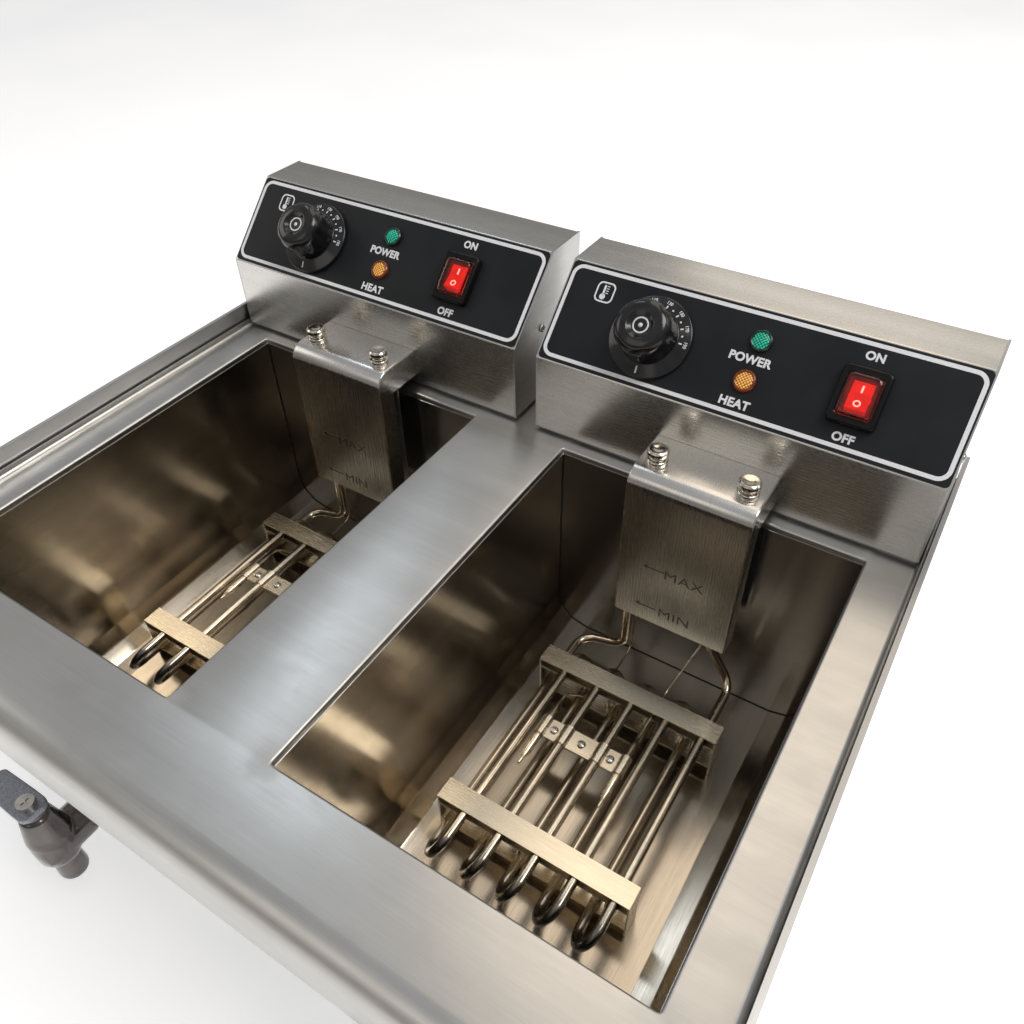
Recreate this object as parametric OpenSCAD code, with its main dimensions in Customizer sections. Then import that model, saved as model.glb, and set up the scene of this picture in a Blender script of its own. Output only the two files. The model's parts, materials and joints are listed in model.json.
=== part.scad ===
// Countertop electric fryer with two tanks. Each tank has its own drain tap and its own control head,
// which stands on the worktop behind the tank, carries the heating element and lifts straight off.
//
// Frame: X across, +Y to the back, +Z up. The origin is at the middle of the footprint, on the counter.
// Inside the modules Y = 0 is the front wall of the tanks and Z = 0 is the top of the worktop.

/* [Cabinet] */
// Overall width over the side panels
cabinet_w = 580; // [576:1:600]
// Height of the worktop above the counter
deck_h = 270; // [262:1:290]
// How far the side panels stand up above the worktop
side_rise = 19; // [12:1:24]
// Depth from the tanks' front wall to the back panel
cabinet_back = 413; // [410:1:430]
// How far the worktop's rounded front edge stands in front of the tanks
nose_reach = 62; // [50:1:66]
// Radius of the worktop's front edge
nose_r = 17; // [12:1:20]
// Height of the lip under the worktop's front edge
lip_h = 45; // [40:1:60]
// Sheet thickness of the cabinet and tanks
sheet = 1.2; // [1:0.1:1.5]

/* [Tanks] */
// Inside width of a tank
tank_w = 217.4; // [214:0.2:218]
// Inside length of a tank, front to back
tank_l = 301.3; // [300:0.1:302]
// Inside depth of a tank below the worktop
tank_depth = 184; // [183:1:200]
// Distance between the tanks' middles
tank_pitch = 295; // [290:1:298]
// Radius of the long bottom edges
tank_edge_r = 28; // [20:1:34]

/* [Control heads] */
// Width of a head over its end plates
head_w = 275.5; // [270:0.5:276]
// Distance between the heads' middles
head_pitch = 293.1; // [290:0.1:294]
// Distance from the tanks' front wall to a head's front
head_front = 311.8; // [310:0.1:314]
// Gap under a head's front sheet
head_gap = 3.2; // [3:0.1:4]
// Height of the vertical front
front_top = 61.9; // [60:0.1:64]
// Overall height of a head
head_top = 113.4; // [112:0.1:116]
// Depth of the sloping panel, measured level
slope_run = 52.8; // [51:0.1:54]
// Depth of the level top
top_d = 38.9; // [37:0.1:40]

/* [Controls] */
// Diameter of the knob's skirt
knob_d = 56.8; // [50:0.2:58]
// Height of the knob above the panel
knob_h = 31; // [28:1:34]
// How far the knob turns from off to the hottest mark, degrees
knob_turn = 270; // [240:5:300]
// Diameter of a lamp's lens
lamp_d = 14.5; // [13:0.5:15]
// Tilt of the rocker to each side, degrees
rocker_tilt = 8; // [5:1:8]

/* [Heating element] */
// Diameter of the element's tube
rod_d = 7; // [6:0.5:7]
// Spacing of neighbouring rods in one layer
rod_pitch = 28; // [28:0.5:29]
// Height of the upper layer's axis
upper_z = -147; // [-148:0.5:-146]
// Height of the lower layer's axis
lower_z = -170; // [-171:0.5:-169]

/* [Element cover] */
// Width of the cover
cover_w = 87; // [86:0.5:90]
// Distance from the tanks' front wall to the cover's upright face
cover_front = 266; // [264:0.5:268]
// Lowest point of the cover
cover_bottom = -99; // [-110:1:-90]
// Top of the cover
cover_top = 32; // [31:0.5:34]
// Radius of the cover's bend
cover_bend = 12; // [8:0.5:14]

/* [Drain taps] */
// Distance of the tap's stem in front of the tanks
tap_reach = 65; // [62:1:75]
// Height of the drain's axis
drain_z = -170; // [-172:0.5:-168]
// Length of the tap's lever from the stem
lever_l = 38; // [30:1:60]
// Diameter of the drain's bore
drain_bore = 13; // [11:0.5:13]

/* [Hidden] */

$fn = 48;
eps = 0.05;                     // clearance of parts that only touch
fit = 0.05;                     // radial clearance of parts that turn in each other
gland_reach = 14;               // how far the cord gland stands behind a head
tap_r = 16;                     // radius of the tap's round body
head_back = head_front + slope_run + top_d;
y_front = -tap_reach - tap_r;
y_back = max(cabinet_back, head_back + gland_reach);
y_mid = (y_front + y_back) / 2;
inner_w = cabinet_w - 2 * sheet;
hem = 3;                        // thickness of the side panels' folded top edge
deck_w = cabinet_w - 2 * hem - 0.4;
deck_upturn = 5;
foot_h = 20;
base_z = foot_h - deck_h;       // underside of the base plate
panel_y = -15;                  // front of the recessed front panel
slope_rise = head_top - front_top;
slope_a = atan2(slope_rise, slope_run);
slope_l = norm([slope_run, slope_rise]);
plate_t = 1.5;                  // thickness of the heads' end plates
skin = 1;                       // thickness of the heads' bent sheet
steel = "#b9bcc0";
warm_steel = "#a9a294";
black = "#1c1d1f";

// Places of the controls on the sloping panel: across from the head's middle, then up the slope
knob_at = [-63.75, 35];
power_at = [5.45, 53];
heat_at = [4.95, 26];
switch_at = [73.15, 36];
cover_x = 1.75;                 // middle of the element cover, from the head's middle
label_t = 0.4;

// ---------------------------------------------------------------- helpers

module in_row() {
    translate([0, -y_mid, deck_h]) children();
}

module at_head(side) {
    in_row() translate([side * head_pitch / 2, 0, 0]) children();
}

module at_tank(side) {
    in_row() translate([side * tank_pitch / 2, 0, 0]) children();
}

// Local X across the head, local Y up the sloping panel, local Z straight out of it
module on_slope(side, place) {
    at_head(side) translate([place[0], head_front, front_top])
        rotate([slope_a, 0, 0]) translate([0, place[1], 0]) children();
}

// Extrudes a (y, z) outline from x0 to x1
module across(x0, x1) {
    translate([x0, 0, 0]) rotate([90, 0, 90]) linear_extrude(x1 - x0) children();
}

module box(low, high) {
    translate(low) cube(high - low);
}

module rounded(size, r, h) {
    linear_extrude(h) {
        square([size[0] - 2 * r, size[1]], center = true);
        square([size[0], size[1] - 2 * r], center = true);
        for (x = [-1, 1], y = [-1, 1])
            translate([x * (size[0] / 2 - r), y * (size[1] / 2 - r)]) circle(r);
    }
}

function unit(v) = v / norm(v);

// A round bar from a to b
module bar(a, b, r) {
    d = unit(b - a);
    translate(a) rotate([0, acos(d[2]), atan2(d[1], d[0])]) cylinder(h = norm(b - a), r = r);
}

arc_step = 22.5;                // degrees between the rings of a bent tube

// Rings of a tube that is bent to one radius at every corner of a path: [point, direction] of each
function bend_rings(path, bend) = let (
    n = len(path),
    dirs = [for (i = [0:n - 2]) unit(path[i + 1] - path[i])],
    turn = [for (i = [0:n - 1]) i == 0 || i == n - 1 ? 0 : acos(dirs[i - 1] * dirs[i])],
    cut = [for (a = turn) bend * tan(a / 2)]
) concat(
    [[path[0], dirs[0]]],
    [for (i = [1:n - 2])
        let (
            d = dirs[i - 1],
            inward = unit(dirs[i] - d * (d * dirs[i])),
            centre = path[i] - d * cut[i] + inward * bend,
            steps = ceil(turn[i] / arc_step),
            straight = norm(path[i] - path[i - 1]) - cut[i] - cut[i - 1]
        )
        for (k = [(straight < 0.1 ? 1 : 0):steps])
            let (a = turn[i] * k / steps)
            [centre - inward * bend * cos(a) + d * bend * sin(a), d * cos(a) + inward * sin(a)]],
    [[path[n - 1], dirs[n - 2]]]
);

// A round tube along a path, bent to one radius at its corners
module bent_tube(path, bend, r, sides) {
    rings = bend_rings(path, bend);
    n = len(rings);
    across_dirs = [for (
        i = 0, u = unit(cross(rings[0][1], [0.3, 0.5, 0.8]));
        i < n;
        i = i + 1, u = i < n ? unit(u - rings[i][1] * (rings[i][1] * u)) : u
    ) u];
    points = [for (i = [0:n - 1], k = [0:sides - 1])
        let (u = across_dirs[i], v = cross(rings[i][1], u), a = 360 * k / sides)
        rings[i][0] + r * (u * cos(a) + v * sin(a))];
    sides_faces = [for (i = [0:n - 2], k = [0:sides - 1], half = [0, 1])
        let (a = i * sides + k, b = i * sides + (k + 1) % sides)
        half == 0 ? [a, b + sides, b] : [a, a + sides, b + sides]];
    polyhedron(points, concat(
        sides_faces,
        [[for (k = [0:sides - 1]) k]],
        [[for (k = [sides - 1:-1:0]) (n - 1) * sides + k]]
    ));
}

screw_r = 1.75;
screw_head_r = 3.3;
screw_head_h = 2;

// A pan-head screw: the head stands on Z = 0 and the shank goes down
module screw(length) {
    difference() {
        union() {
            cylinder(h = screw_head_h, r = screw_head_r);
            translate([0, 0, -length]) cylinder(h = length + eps, r = screw_r);
        }
        for (a = [0, 90]) rotate([0, 0, a]) box([-2, -0.4, 1], [2, 0.4, 3]);
    }
}

// ---------------------------------------------------------------- cabinet

module deck_profile() {
    difference() {
        union() {
            translate([-nose_reach + nose_r, -nose_r]) circle(nose_r);
            translate([-nose_reach + nose_r, -nose_r]) square([nose_r, nose_r]);
            translate([-nose_reach, -lip_h]) square([nose_reach + panel_y, lip_h - nose_r]);
        }
        translate([-nose_reach + nose_r, -nose_r]) circle(nose_r - sheet);
        translate([-nose_reach + nose_r, -nose_r - eps]) square([nose_r + eps, nose_r - sheet + eps]);
        translate([-nose_reach + sheet, -lip_h + sheet])
            square([nose_reach + panel_y - sheet + eps, lip_h - nose_r - sheet + eps]);
    }
}

module deck() {
    half = deck_w / 2;
    flat_front = -nose_reach + 2 * nose_r;
    color(steel) in_row() {
        across(-half, half) deck_profile();
        difference() {
            box([-half, flat_front, -sheet], [half, cabinet_back - sheet, 0]);
            for (s = [-1, 1]) translate([s * tank_pitch / 2, 0, 0])
                box([-tank_w / 2, 0, -2 * sheet], [tank_w / 2, tank_l, sheet]);
        }
        for (s = [-1, 1]) translate([s * (half - sheet / 2), 0, 0])
            box([-sheet / 2, flat_front, -eps], [sheet / 2, cabinet_back - sheet, deck_upturn]);
    }
}

module side_outline() {
    bend_y = -nose_reach + nose_r;
    bend_z = side_rise - nose_r;
    translate([-nose_reach, -lip_h]) square([nose_reach + cabinet_back, lip_h + bend_z]);
    translate([bend_y, bend_z]) circle(nose_r);
    translate([bend_y, bend_z]) square([cabinet_back - bend_y, nose_r]);
    translate([panel_y, base_z]) square([cabinet_back - panel_y, -base_z - lip_h + eps]);
}

module side_panel(side) {
    color(steel) in_row() mirror([side < 0 ? 1 : 0, 0, 0]) {
        across(inner_w / 2, cabinet_w / 2) side_outline();
        box([cabinet_w / 2 - hem, -nose_reach + nose_r, side_rise - 8],
            [inner_w / 2 + eps, cabinet_back, side_rise]);
    }
}

module front_panel() {
    color(steel) in_row() difference() {
        box([-inner_w / 2, panel_y, base_z + sheet], [inner_w / 2, panel_y + sheet, -lip_h]);
        for (s = [-1, 1]) translate([s * tank_pitch / 2, panel_y - 1, drain_z])
            rotate([-90, 0, 0]) cylinder(h = 4, r = 12);
    }
}

module rear_panel() {
    color(steel) in_row() difference() {
        box([-inner_w / 2, cabinet_back - sheet, base_z + sheet], [inner_w / 2, cabinet_back, 0]);
        for (p = rear_screws) translate([p[0], cabinet_back + 1, p[1]])
            rotate([90, 0, 0]) cylinder(h = 4, r = screw_r + fit);
    }
}

module base_plate() {
    color(steel) in_row() difference() {
        box([-inner_w / 2, panel_y, base_z], [inner_w / 2, cabinet_back, base_z + sheet]);
        for (p = base_screws) translate([p[0], p[1], base_z - 1]) cylinder(h = 4, r = screw_r + fit);
    }
}

foot_in = 45;
foot_y = [panel_y + foot_in, cabinet_back - foot_in];
foot_places = [for (x = [-1, 1], y = foot_y) [x * (cabinet_w / 2 - foot_in), y]];
screw_in = 15;
base_screw_y = [panel_y + screw_in, cabinet_back - screw_in];
base_screws = [for (x = [-1, 0, 1], y = base_screw_y) [x * (cabinet_w / 2 - screw_in), y]];
rear_screws = [for (x = [-1, 0, 1], z = [base_z + screw_in, -screw_in]) [x * (cabinet_w / 2 - screw_in), z]];

module feet() {
    color(black) in_row() for (p = foot_places) translate([p[0], p[1], -deck_h]) {
        cylinder(h = foot_h - 5, r1 = 15, r2 = 18);
        translate([0, 0, foot_h - 5]) cylinder(h = 5, r = 18);
    }
}

module cabinet_screws() {
    color(steel) in_row() {
        for (p = base_screws) translate([p[0], p[1], base_z]) rotate([180, 0, 0]) screw(8);
        for (p = rear_screws) translate([p[0], cabinet_back, p[1]]) rotate([-90, 0, 0]) screw(8);
    }
}

module tank_outline(wall) {
    r = tank_edge_r + wall;
    half = tank_w / 2 + wall;
    low = -tank_depth - wall;
    translate([-half, low + r]) square([2 * half, -low - r]);
    translate([-half + r, low]) square([2 * half - 2 * r, r + eps]);
    for (s = [-1, 1]) translate([s * (half - r), low + r]) circle(r);
}

module tank(side) {
    color(warm_steel) at_tank(side) difference() {
        translate([0, tank_l + sheet, 0]) rotate([90, 0, 0])
            linear_extrude(tank_l + 2 * sheet) tank_outline(sheet);
        translate([0, tank_l, 0]) rotate([90, 0, 0]) linear_extrude(tank_l) tank_outline(0);
        box([-tank_w, -sheet * 2, -sheet], [tank_w, tank_l + sheet * 2, sheet]);
        translate([0, -2 * sheet, drain_z]) rotate([-90, 0, 0]) cylinder(h = 3 * sheet, r = 10 + fit);
    }
}

// ---------------------------------------------------------------- drain taps

pipe_r = 10;
ball_r = 9;
stem_r = 4;
bonnet_h = 38;
lever_z = 44;
lever_t = 5;
spout_h = 38;

module at_tap(side) {
    at_tank(side) translate([0, -tap_reach, drain_z]) children();
}

module tap_body(side) {
    color("#8b8d90") at_tap(side) difference() {
        union() {
            translate([0, 0, -tap_r]) cylinder(h = 2 * tap_r, r = tap_r);
            rotate([-90, 0, 0]) cylinder(h = 30, r = tap_r - 1);
            translate([0, 30, 0]) rotate([-90, 0, 0]) cylinder(h = 12, r = 16, $fn = 6);
            rotate([-90, 0, 0]) cylinder(h = tap_reach, r = pipe_r);
            translate([0, 0, tap_r]) cylinder(h = bonnet_h - tap_r, r1 = tap_r - 1, r2 = 10);
            translate([0, 0, bonnet_h]) cylinder(h = 4, r = 8);
            translate([0, 0, -spout_h]) cylinder(h = spout_h, r = pipe_r);
        }
        sphere(ball_r + 0.3);
        rotate([-90, 0, 0]) cylinder(h = tap_reach + 1, r = drain_bore / 2);
        translate([0, 0, -spout_h - 1]) cylinder(h = spout_h + 1, r = drain_bore / 2);
        cylinder(h = bonnet_h + 5, r = stem_r + fit);
    }
}

module tap_ball(side) {
    color(steel) at_tap(side) difference() {
        union() {
            sphere(ball_r);
            cylinder(h = lever_z + lever_t, r = stem_r);
        }
        rotate([0, 90, 0]) cylinder(h = ball_r + 1, r = drain_bore / 2 - 1.5);
        translate([0, 0, -ball_r - 1]) cylinder(h = ball_r + 1, r = drain_bore / 2 - 1.5);
        translate([0, 0, lever_z - 6]) cylinder(h = 12, r = 2);
    }
}

module tap_lever(side) {
    color("#9a9ca0") at_tap(side) translate([0, 0, lever_z]) difference() {
        union() {
            cylinder(h = lever_t, r = 10);
            box([-lever_l + 4, -9, 0], [0, 9, lever_t]);
            box([-lever_l, -5, 0], [0, 5, lever_t]);
            for (y = [-5, 5]) translate([-lever_l + 4, y, 0]) cylinder(h = lever_t, r = 4);
        }
        translate([0, 0, -1]) cylinder(h = lever_t + 2, r = stem_r + 0.02);
    }
}

module tap_screw(side) {
    color(steel) at_tap(side) translate([0, 0, lever_z + lever_t]) difference() {
        union() {
            cylinder(h = 4, r = 6);
            translate([0, 0, -9]) cylinder(h = 9 + eps, r = 1.98);
        }
        for (a = [0, 90]) rotate([0, 0, a]) box([-3, -0.5, 2.6], [3, 0.5, 5]);
    }
}

// ---------------------------------------------------------------- control head

end_in = head_w / 2 - plate_t;  // inside face of the end plates
shell_half = end_in - eps;
arm_low = 10;                   // lower edge of the cover's level arm
tongue_z = 7.8;                 // underside of the tongue that carries the element

module head_outline(inset) {
    front_corner = inset * tan((90 - slope_a) / 2);
    top_corner = inset * tan(slope_a / 2);
    polygon([
        [head_front + inset, head_gap],
        [head_front + inset, front_top - front_corner],
        [head_front + slope_run + top_corner, head_top - inset],
        [head_back - inset, head_top - inset],
        [head_back - inset, head_gap]
    ]);
}

module panel_cutouts(side) {
    on_slope(side, knob_at) translate([0, 0, -2]) cylinder(h = 4, r = 5.3);
    for (p = [power_at, heat_at]) on_slope(side, p) translate([0, 0, -2]) cylinder(h = 4, r = 6);
    on_slope(side, switch_at) translate([0, 0, -2]) rounded([27.2, 34.2], 1, 4);
}

module head_shell(side) {
    color(steel) difference() {
        at_head(side) across(-shell_half, shell_half) difference() {
            head_outline(0);
            head_outline(skin);
            translate([head_front + skin, 0]) square([head_back, head_gap + 10]);
            translate([head_back - 2 * skin, 0]) square([4 * skin, head_top - 14]);
        }
        panel_cutouts(side);
        at_head(side) box([cover_x - cover_w / 2 + 2, head_front - 1, tongue_z - 1],
            [cover_x + cover_w / 2 - 2, head_front + 2, cover_top - 2]);
    }
}

end_screws = [[350, 60], [392, 20]];

module end_plates(side) {
    color(steel) at_head(side) for (s = [-1, 1]) mirror([s < 0 ? 1 : 0, 0, 0]) difference() {
        across(end_in, head_w / 2) head_outline(0);
        for (p = end_screws) translate([end_in - 1, p[0], p[1]])
            rotate([0, 90, 0]) cylinder(h = 4, r = screw_r + fit);
    }
}

module chassis(side) {
    back = head_back - skin - eps;
    front = head_front + skin + 2;
    duct_y = 288.4;
    duct_half = 42;
    color(steel) at_head(side) {
        difference() {
            union() {
                box([-end_in + eps, front, 0], [end_in - eps, back, plate_t]);
                box([-end_in + eps, back - plate_t, 0], [end_in - eps, back, head_top - 16]);
                for (s = [-1, 1]) mirror([s < 0 ? 1 : 0, 0, 0]) {
                    box([end_in - plate_t, 340, 0], [end_in - eps, 360, 70]);
                    box([end_in - plate_t, 384, 0], [end_in - eps, back, 30]);
                }
            }
            for (s = [-1, 1], p = end_screws) translate([s * end_in - 4, p[0], p[1]])
                rotate([0, 90, 0]) cylinder(h = 8, r = screw_r + fit);
            translate([0, back - 4, 32]) rotate([-90, 0, 0]) cylinder(h = 6, r = 8 + fit);
        }
        translate([cover_x, 0, 0]) {
            tongue_half = duct_half - 2;
            box([-duct_half, duct_y, -95], [duct_half, duct_y + sheet, tongue_z + sheet]);
            box([-tongue_half, duct_y, tongue_z], [tongue_half, front + 10, tongue_z + sheet]);
            box([-tongue_half, front + 10 - sheet, plate_t - eps],
                [tongue_half, front + 10, tongue_z + sheet]);
        }
    }
}

module control_label(side) {
    middle = [0, slope_l / 2];
    color(black) difference() {
        on_slope(side, middle) rounded([head_w - 2, slope_l - 1.8], 3, label_t);
        panel_cutouts(side);
    }
}

module knob(side) {
    rim = knob_d / 2;
    low = label_t + 1;
    color(black) on_slope(side, knob_at) difference() {
        rotate_extrude() polygon([
            [0, low + 3], [18, low + 3], [18, low], [rim, low], [rim, low + 2.5],
            [rim - 1, low + 3.5], [23, low + 5], [21.5, knob_h - 2], [19.5, knob_h], [0, knob_h]
        ]);
        translate([0, 0, low]) cylinder(h = 19, r = 3.02);
    }
}

module knob_shaft(side) {
    color(steel) on_slope(side, knob_at) translate([0, 0, -6]) cylinder(h = 26, r = 3);
}

module thermostat(side) {
    color("#c9c3b4") on_slope(side, knob_at) difference() {
        union() {
            translate([0, 0, -26]) rounded([42, 34], 3, 24.5);
            translate([0, 0, -2]) cylinder(h = 2 + label_t, r = 5.2);
        }
        translate([0, 0, -6.5]) cylinder(h = 8, r = 3 + fit);
    }
}

module limiter(side) {
    color("#c9c3b4") at_head(side) translate([60, head_back - 4, 50]) rotate([90, 0, 0]) {
        cylinder(h = 14, r = 16);
        translate([0, 0, 14]) cylinder(h = 10, r = 9);
    }
}

module lamp(side, place, tint) {
    color(tint) on_slope(side, place) {
        translate([0, 0, -18]) cylinder(h = 18 + label_t, r = 5.8);
        translate([0, 0, label_t]) cylinder(h = 2.4, r = lamp_d / 2);
        translate([0, 0, label_t + 2.4]) cylinder(h = 1.4, r1 = lamp_d / 2, r2 = lamp_d / 2 - 2);
    }
}

switch_size = [29.5, 36.5];     // outside of the switch's frame
boot_seat = [22, 27.4];         // recess in the switch's frame that holds the cover
cavity = [20, 25];              // opening in the switch's frame
bezel_z = 2.6;                  // height of the ledge round the rocker
rocker_size = [12.6, 17.8];
frame_h = 7;                    // height of the switch's frame above the panel
pin_r = 1.5;

module switch_body(side) {
    color(black) on_slope(side, switch_at) difference() {
        union() {
            translate([0, 0, -26]) rounded([27, 34], 1, 26 + label_t + eps);
            translate([0, 0, label_t]) rounded(switch_size, 3, frame_h - label_t);
        }
        translate([0, 0, -8]) rounded(rocker_size + [0.8, 1.8], 0.6, frame_h + 9);
        translate([0, 0, bezel_z]) rounded(cavity, 1, frame_h);
        translate([0, 0, frame_h - 1]) rounded(boot_seat, 2.5, 2);
        translate([-8.6, 0, 0]) rotate([0, 90, 0]) cylinder(h = 17.2, r = pin_r + fit);
    }
}

module switch_rocker(side) {
    color("#d8231c") on_slope(side, switch_at) rotate([-rocker_tilt, 0, 0]) {
        half = rocker_size / 2;
        across(-half.x, half.x) polygon([
            [-half.y, 4.6], [0, 3.6], [half.y, 4.6], [half.y, -2.5], [5, -5], [-5, -5], [-half.y, -2.5]
        ]);
        translate([-8.3, 0, 0]) rotate([0, 90, 0]) cylinder(h = 16.6, r = pin_r);
    }
}

module switch_boot(side) {
    color("#ff6a5a", 0.35) on_slope(side, switch_at) difference() {
        union() {
            translate([0, 0, frame_h - 1 + eps]) rounded(boot_seat - [0.4, 0.4], 2.3, 1);
            translate([0, 0, frame_h]) rounded(boot_seat - [0.8, 1], 3, 2.6);
        }
        translate([0, 0, frame_h - 2]) rounded(boot_seat - [2.8, 3], 2, 3.6);
    }
}

module cord_gland(side) {
    color(black) at_head(side) translate([0, head_back, 32]) rotate([-90, 0, 0]) difference() {
        union() {
            cylinder(h = 6, r = 12, $fn = 6);
            translate([0, 0, 5]) cylinder(h = gland_reach - 5, r = 9);
            translate([0, 0, -12]) cylinder(h = 13, r = 8);
        }
        translate([0, 0, -13]) cylinder(h = gland_reach + 14, r = 4.5);
    }
}

// ---------------------------------------------------------------- element and its cover

module cover_outline(inset, over) {
    bend_y = cover_front + cover_bend;
    bend_z = cover_top - cover_bend;
    translate([bend_y, bend_z]) circle(cover_bend - inset);
    translate([cover_front + inset, cover_bottom - over])
        square([cover_side - inset + over, bend_z - cover_bottom + over]);
    translate([bend_y - eps, arm_low - over])
        square([head_front - 0.2 - bend_y + over + eps, cover_top - inset - arm_low + over]);
}

cover_side = 16;                // depth of the cover's upright side walls
stud_places = [for (s = [-1, 1]) [cover_x + s * 31, 285]];

module element_cover(side) {
    color(steel) at_head(side) difference() {
        translate([cover_x, 0, 0]) across(-cover_w / 2, cover_w / 2) cover_outline(0, 0);
        translate([cover_x, 0, 0]) across(-cover_w / 2 + sheet, cover_w / 2 - sheet) cover_outline(sheet, 3);
        for (p = stud_places) translate([p[0], p[1], 20]) cylinder(h = 20, r = 3 + fit);
    }
}

module hanger_studs(side) {
    color("#d5d6d8") at_head(side) for (p = stud_places) translate([p[0], p[1], cover_top]) {
        translate([0, 0, -5]) cylinder(h = 6, r = 3);
        cylinder(h = 3.5, r = 7.3);
        translate([0, 0, 3.5]) cylinder(h = 3.5, r = 4.6);
        translate([0, 0, 7]) cylinder(h = 3.5, r = 7.3);
        translate([0, 0, 10.5]) cylinder(h = 1, r1 = 7.3, r2 = 5.8);
    }
}

rods = 5;                       // rods in each layer
rod_r = rod_d / 2;
layer_step = rod_pitch / 2;     // the lower rods lie half a pitch to the left of the upper ones
layer_gap = upper_z - lower_z;
loop_r = norm([layer_step, layer_gap]) / 2;
first_rod = -59.05;             // the first upper rod, from the head's middle
loop_front = 57 + rod_r;
loop_back = 254 - rod_r;
leg_y = 283;
leg_top = 20;
left_leg_x = -36.5;
right_leg_x = 31;

function upper(i) = first_rod + i * rod_pitch;
function lower(i) = upper(i) - layer_step;

// One tube: up the left leg, through the lower and upper rods in turn, and up the right leg
function element_path() = concat(
    [
        [left_leg_x, 350, leg_top], [left_leg_x, leg_y, leg_top],
        [left_leg_x, leg_y, -160], [lower(0), 280, lower_z + 2]
    ],
    [for (i = [0:rods - 1], k = [0:3])
        if (!(i == rods - 1 && k > 1))
            k == 0 ? [lower(i), loop_front, lower_z] :
            k == 1 ? [upper(i), loop_front, upper_z] :
            k == 2 ? [upper(i), loop_back, upper_z] : [lower(i + 1), loop_back, lower_z]],
    [
        [upper(rods - 1), 280, upper_z], [right_leg_x, leg_y, -118],
        [right_leg_x, leg_y, leg_top], [right_leg_x, 350, leg_top]
    ]
);

module heating_element(side) {
    color(warm_steel) at_head(side) {
        bent_tube(element_path(), loop_r, rod_r, 12);
        for (x = [left_leg_x, right_leg_x]) translate([x, 350 - eps, leg_top])
            rotate([-90, 0, 0]) cylinder(h = 12, r = 2);
    }
}

strip_x = [-80.5, 63.5];        // ends of the element's brackets, from the head's middle
strip_w = 16;
strip_front = [89, 224];        // front edges of the two brackets
bracket_screw_x = [-24.05, 45.95];
bracket_foot = -tank_depth + 0.5;
upper_top = upper_z + rod_r + eps;
mid_top = upper_z - rod_r - eps;
low_top = lower_z - rod_r - eps;

module bracket(y) {
    box([strip_x[0], y, upper_top], [strip_x[1], y + strip_w, upper_top + sheet]);
    for (x = [strip_x[0], strip_x[1] - sheet])
        box([x, y, bracket_foot], [x + sheet, y + strip_w, upper_top + eps]);
    difference() {
        union() {
            box([strip_x[0] + sheet, y, mid_top - sheet], [strip_x[1] - sheet, y + strip_w, mid_top]);
            box([strip_x[0] + sheet, y, low_top - sheet], [strip_x[1] - sheet, y + strip_w, low_top]);
        }
        for (x = bracket_screw_x) translate([x, y + strip_w / 2, low_top - 3])
            cylinder(h = 40, r = screw_r + fit);
    }
}

module element_brackets(side) {
    color(warm_steel) at_head(side) for (y = strip_front) bracket(y);
}

clamp_y = 168;
clamp_t = 1.2;
bulb_r = 3;
bulb_x = [-48.5, 14.45];
clamp_screw_x = [-39.85, -17.55, 5.2];

module clamp_half() {
    difference() {
        union() {
            translate([bulb_x[0] + bulb_r, 0]) square([bulb_x[1] - bulb_x[0] - 2 * bulb_r - 0.5, clamp_t]);
            for (i = [1, 2]) translate([upper(i), 0]) circle(rod_r + eps + clamp_t);
        }
        for (i = [1, 2]) translate([upper(i), 0]) circle(rod_r + eps);
        translate([-100, -20]) square([200, 20]);
    }
}

module curl(x) {
    translate([x, 0]) difference() {
        circle(bulb_r + fit + clamp_t);
        circle(bulb_r + fit);
    }
}

module bulb_clamp(side) {
    color(steel) at_head(side) translate([0, clamp_y + strip_w, upper_z]) rotate([90, 0, 0]) difference() {
        union() {
            linear_extrude(strip_w) {
                clamp_half();
                curl(bulb_x[0]);
                curl(bulb_x[1]);
            }
            translate([0, -0.1, 0]) linear_extrude(strip_w) intersection() {
                mirror([0, 1]) clamp_half();
                translate([bulb_x[0] + 6, -20]) square([bulb_x[1] - bulb_x[0] - 12, 20]);
            }
        }
        for (x = clamp_screw_x) translate([x, -5, strip_w / 2])
            rotate([-90, 0, 0]) cylinder(h = 10, r = screw_r + fit);
    }
}

bulb_y = [141, 205];

// Corners of each capillary, from its bulb's back end up to the head
capillaries = [
    [
        [bulb_x[0], bulb_y[1] - 4, upper_z], [bulb_x[0], bulb_y[1] + 4, upper_z], [-40, 222, -159],
        [-30.5, 245, -160], [-30.5, leg_y + 1, -160], [-30.5, leg_y + 1, leg_top], [-30.5, 340, leg_top]
    ],
    [
        [bulb_x[1], bulb_y[1] - 4, upper_z], [bulb_x[1], 250, upper_z], [25, leg_y + 1, -118],
        [25, leg_y + 1, leg_top], [25, 340, leg_top]
    ]
];

module sensor_bulbs(side) {
    color("#b07a4a") at_head(side) for (i = [0, 1]) {
        bar([bulb_x[i], bulb_y[0], upper_z], [bulb_x[i], bulb_y[1], upper_z], bulb_r);
        bent_tube(capillaries[i], 10, 0.8, 6);
    }
}

module head_screws(side) {
    color(steel) at_head(side) {
        for (s = [-1, 1], p = end_screws) translate([s * head_w / 2, p[0], p[1]])
            rotate([0, s * 90, 0]) screw(6);
        for (x = clamp_screw_x) translate([x, clamp_y + strip_w / 2, upper_z + clamp_t]) screw(8);
        for (x = bracket_screw_x, y = strip_front) translate([x, y + strip_w / 2, mid_top])
            screw(layer_gap + 6);
    }
}

// ---------------------------------------------------------------- nodes

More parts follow.
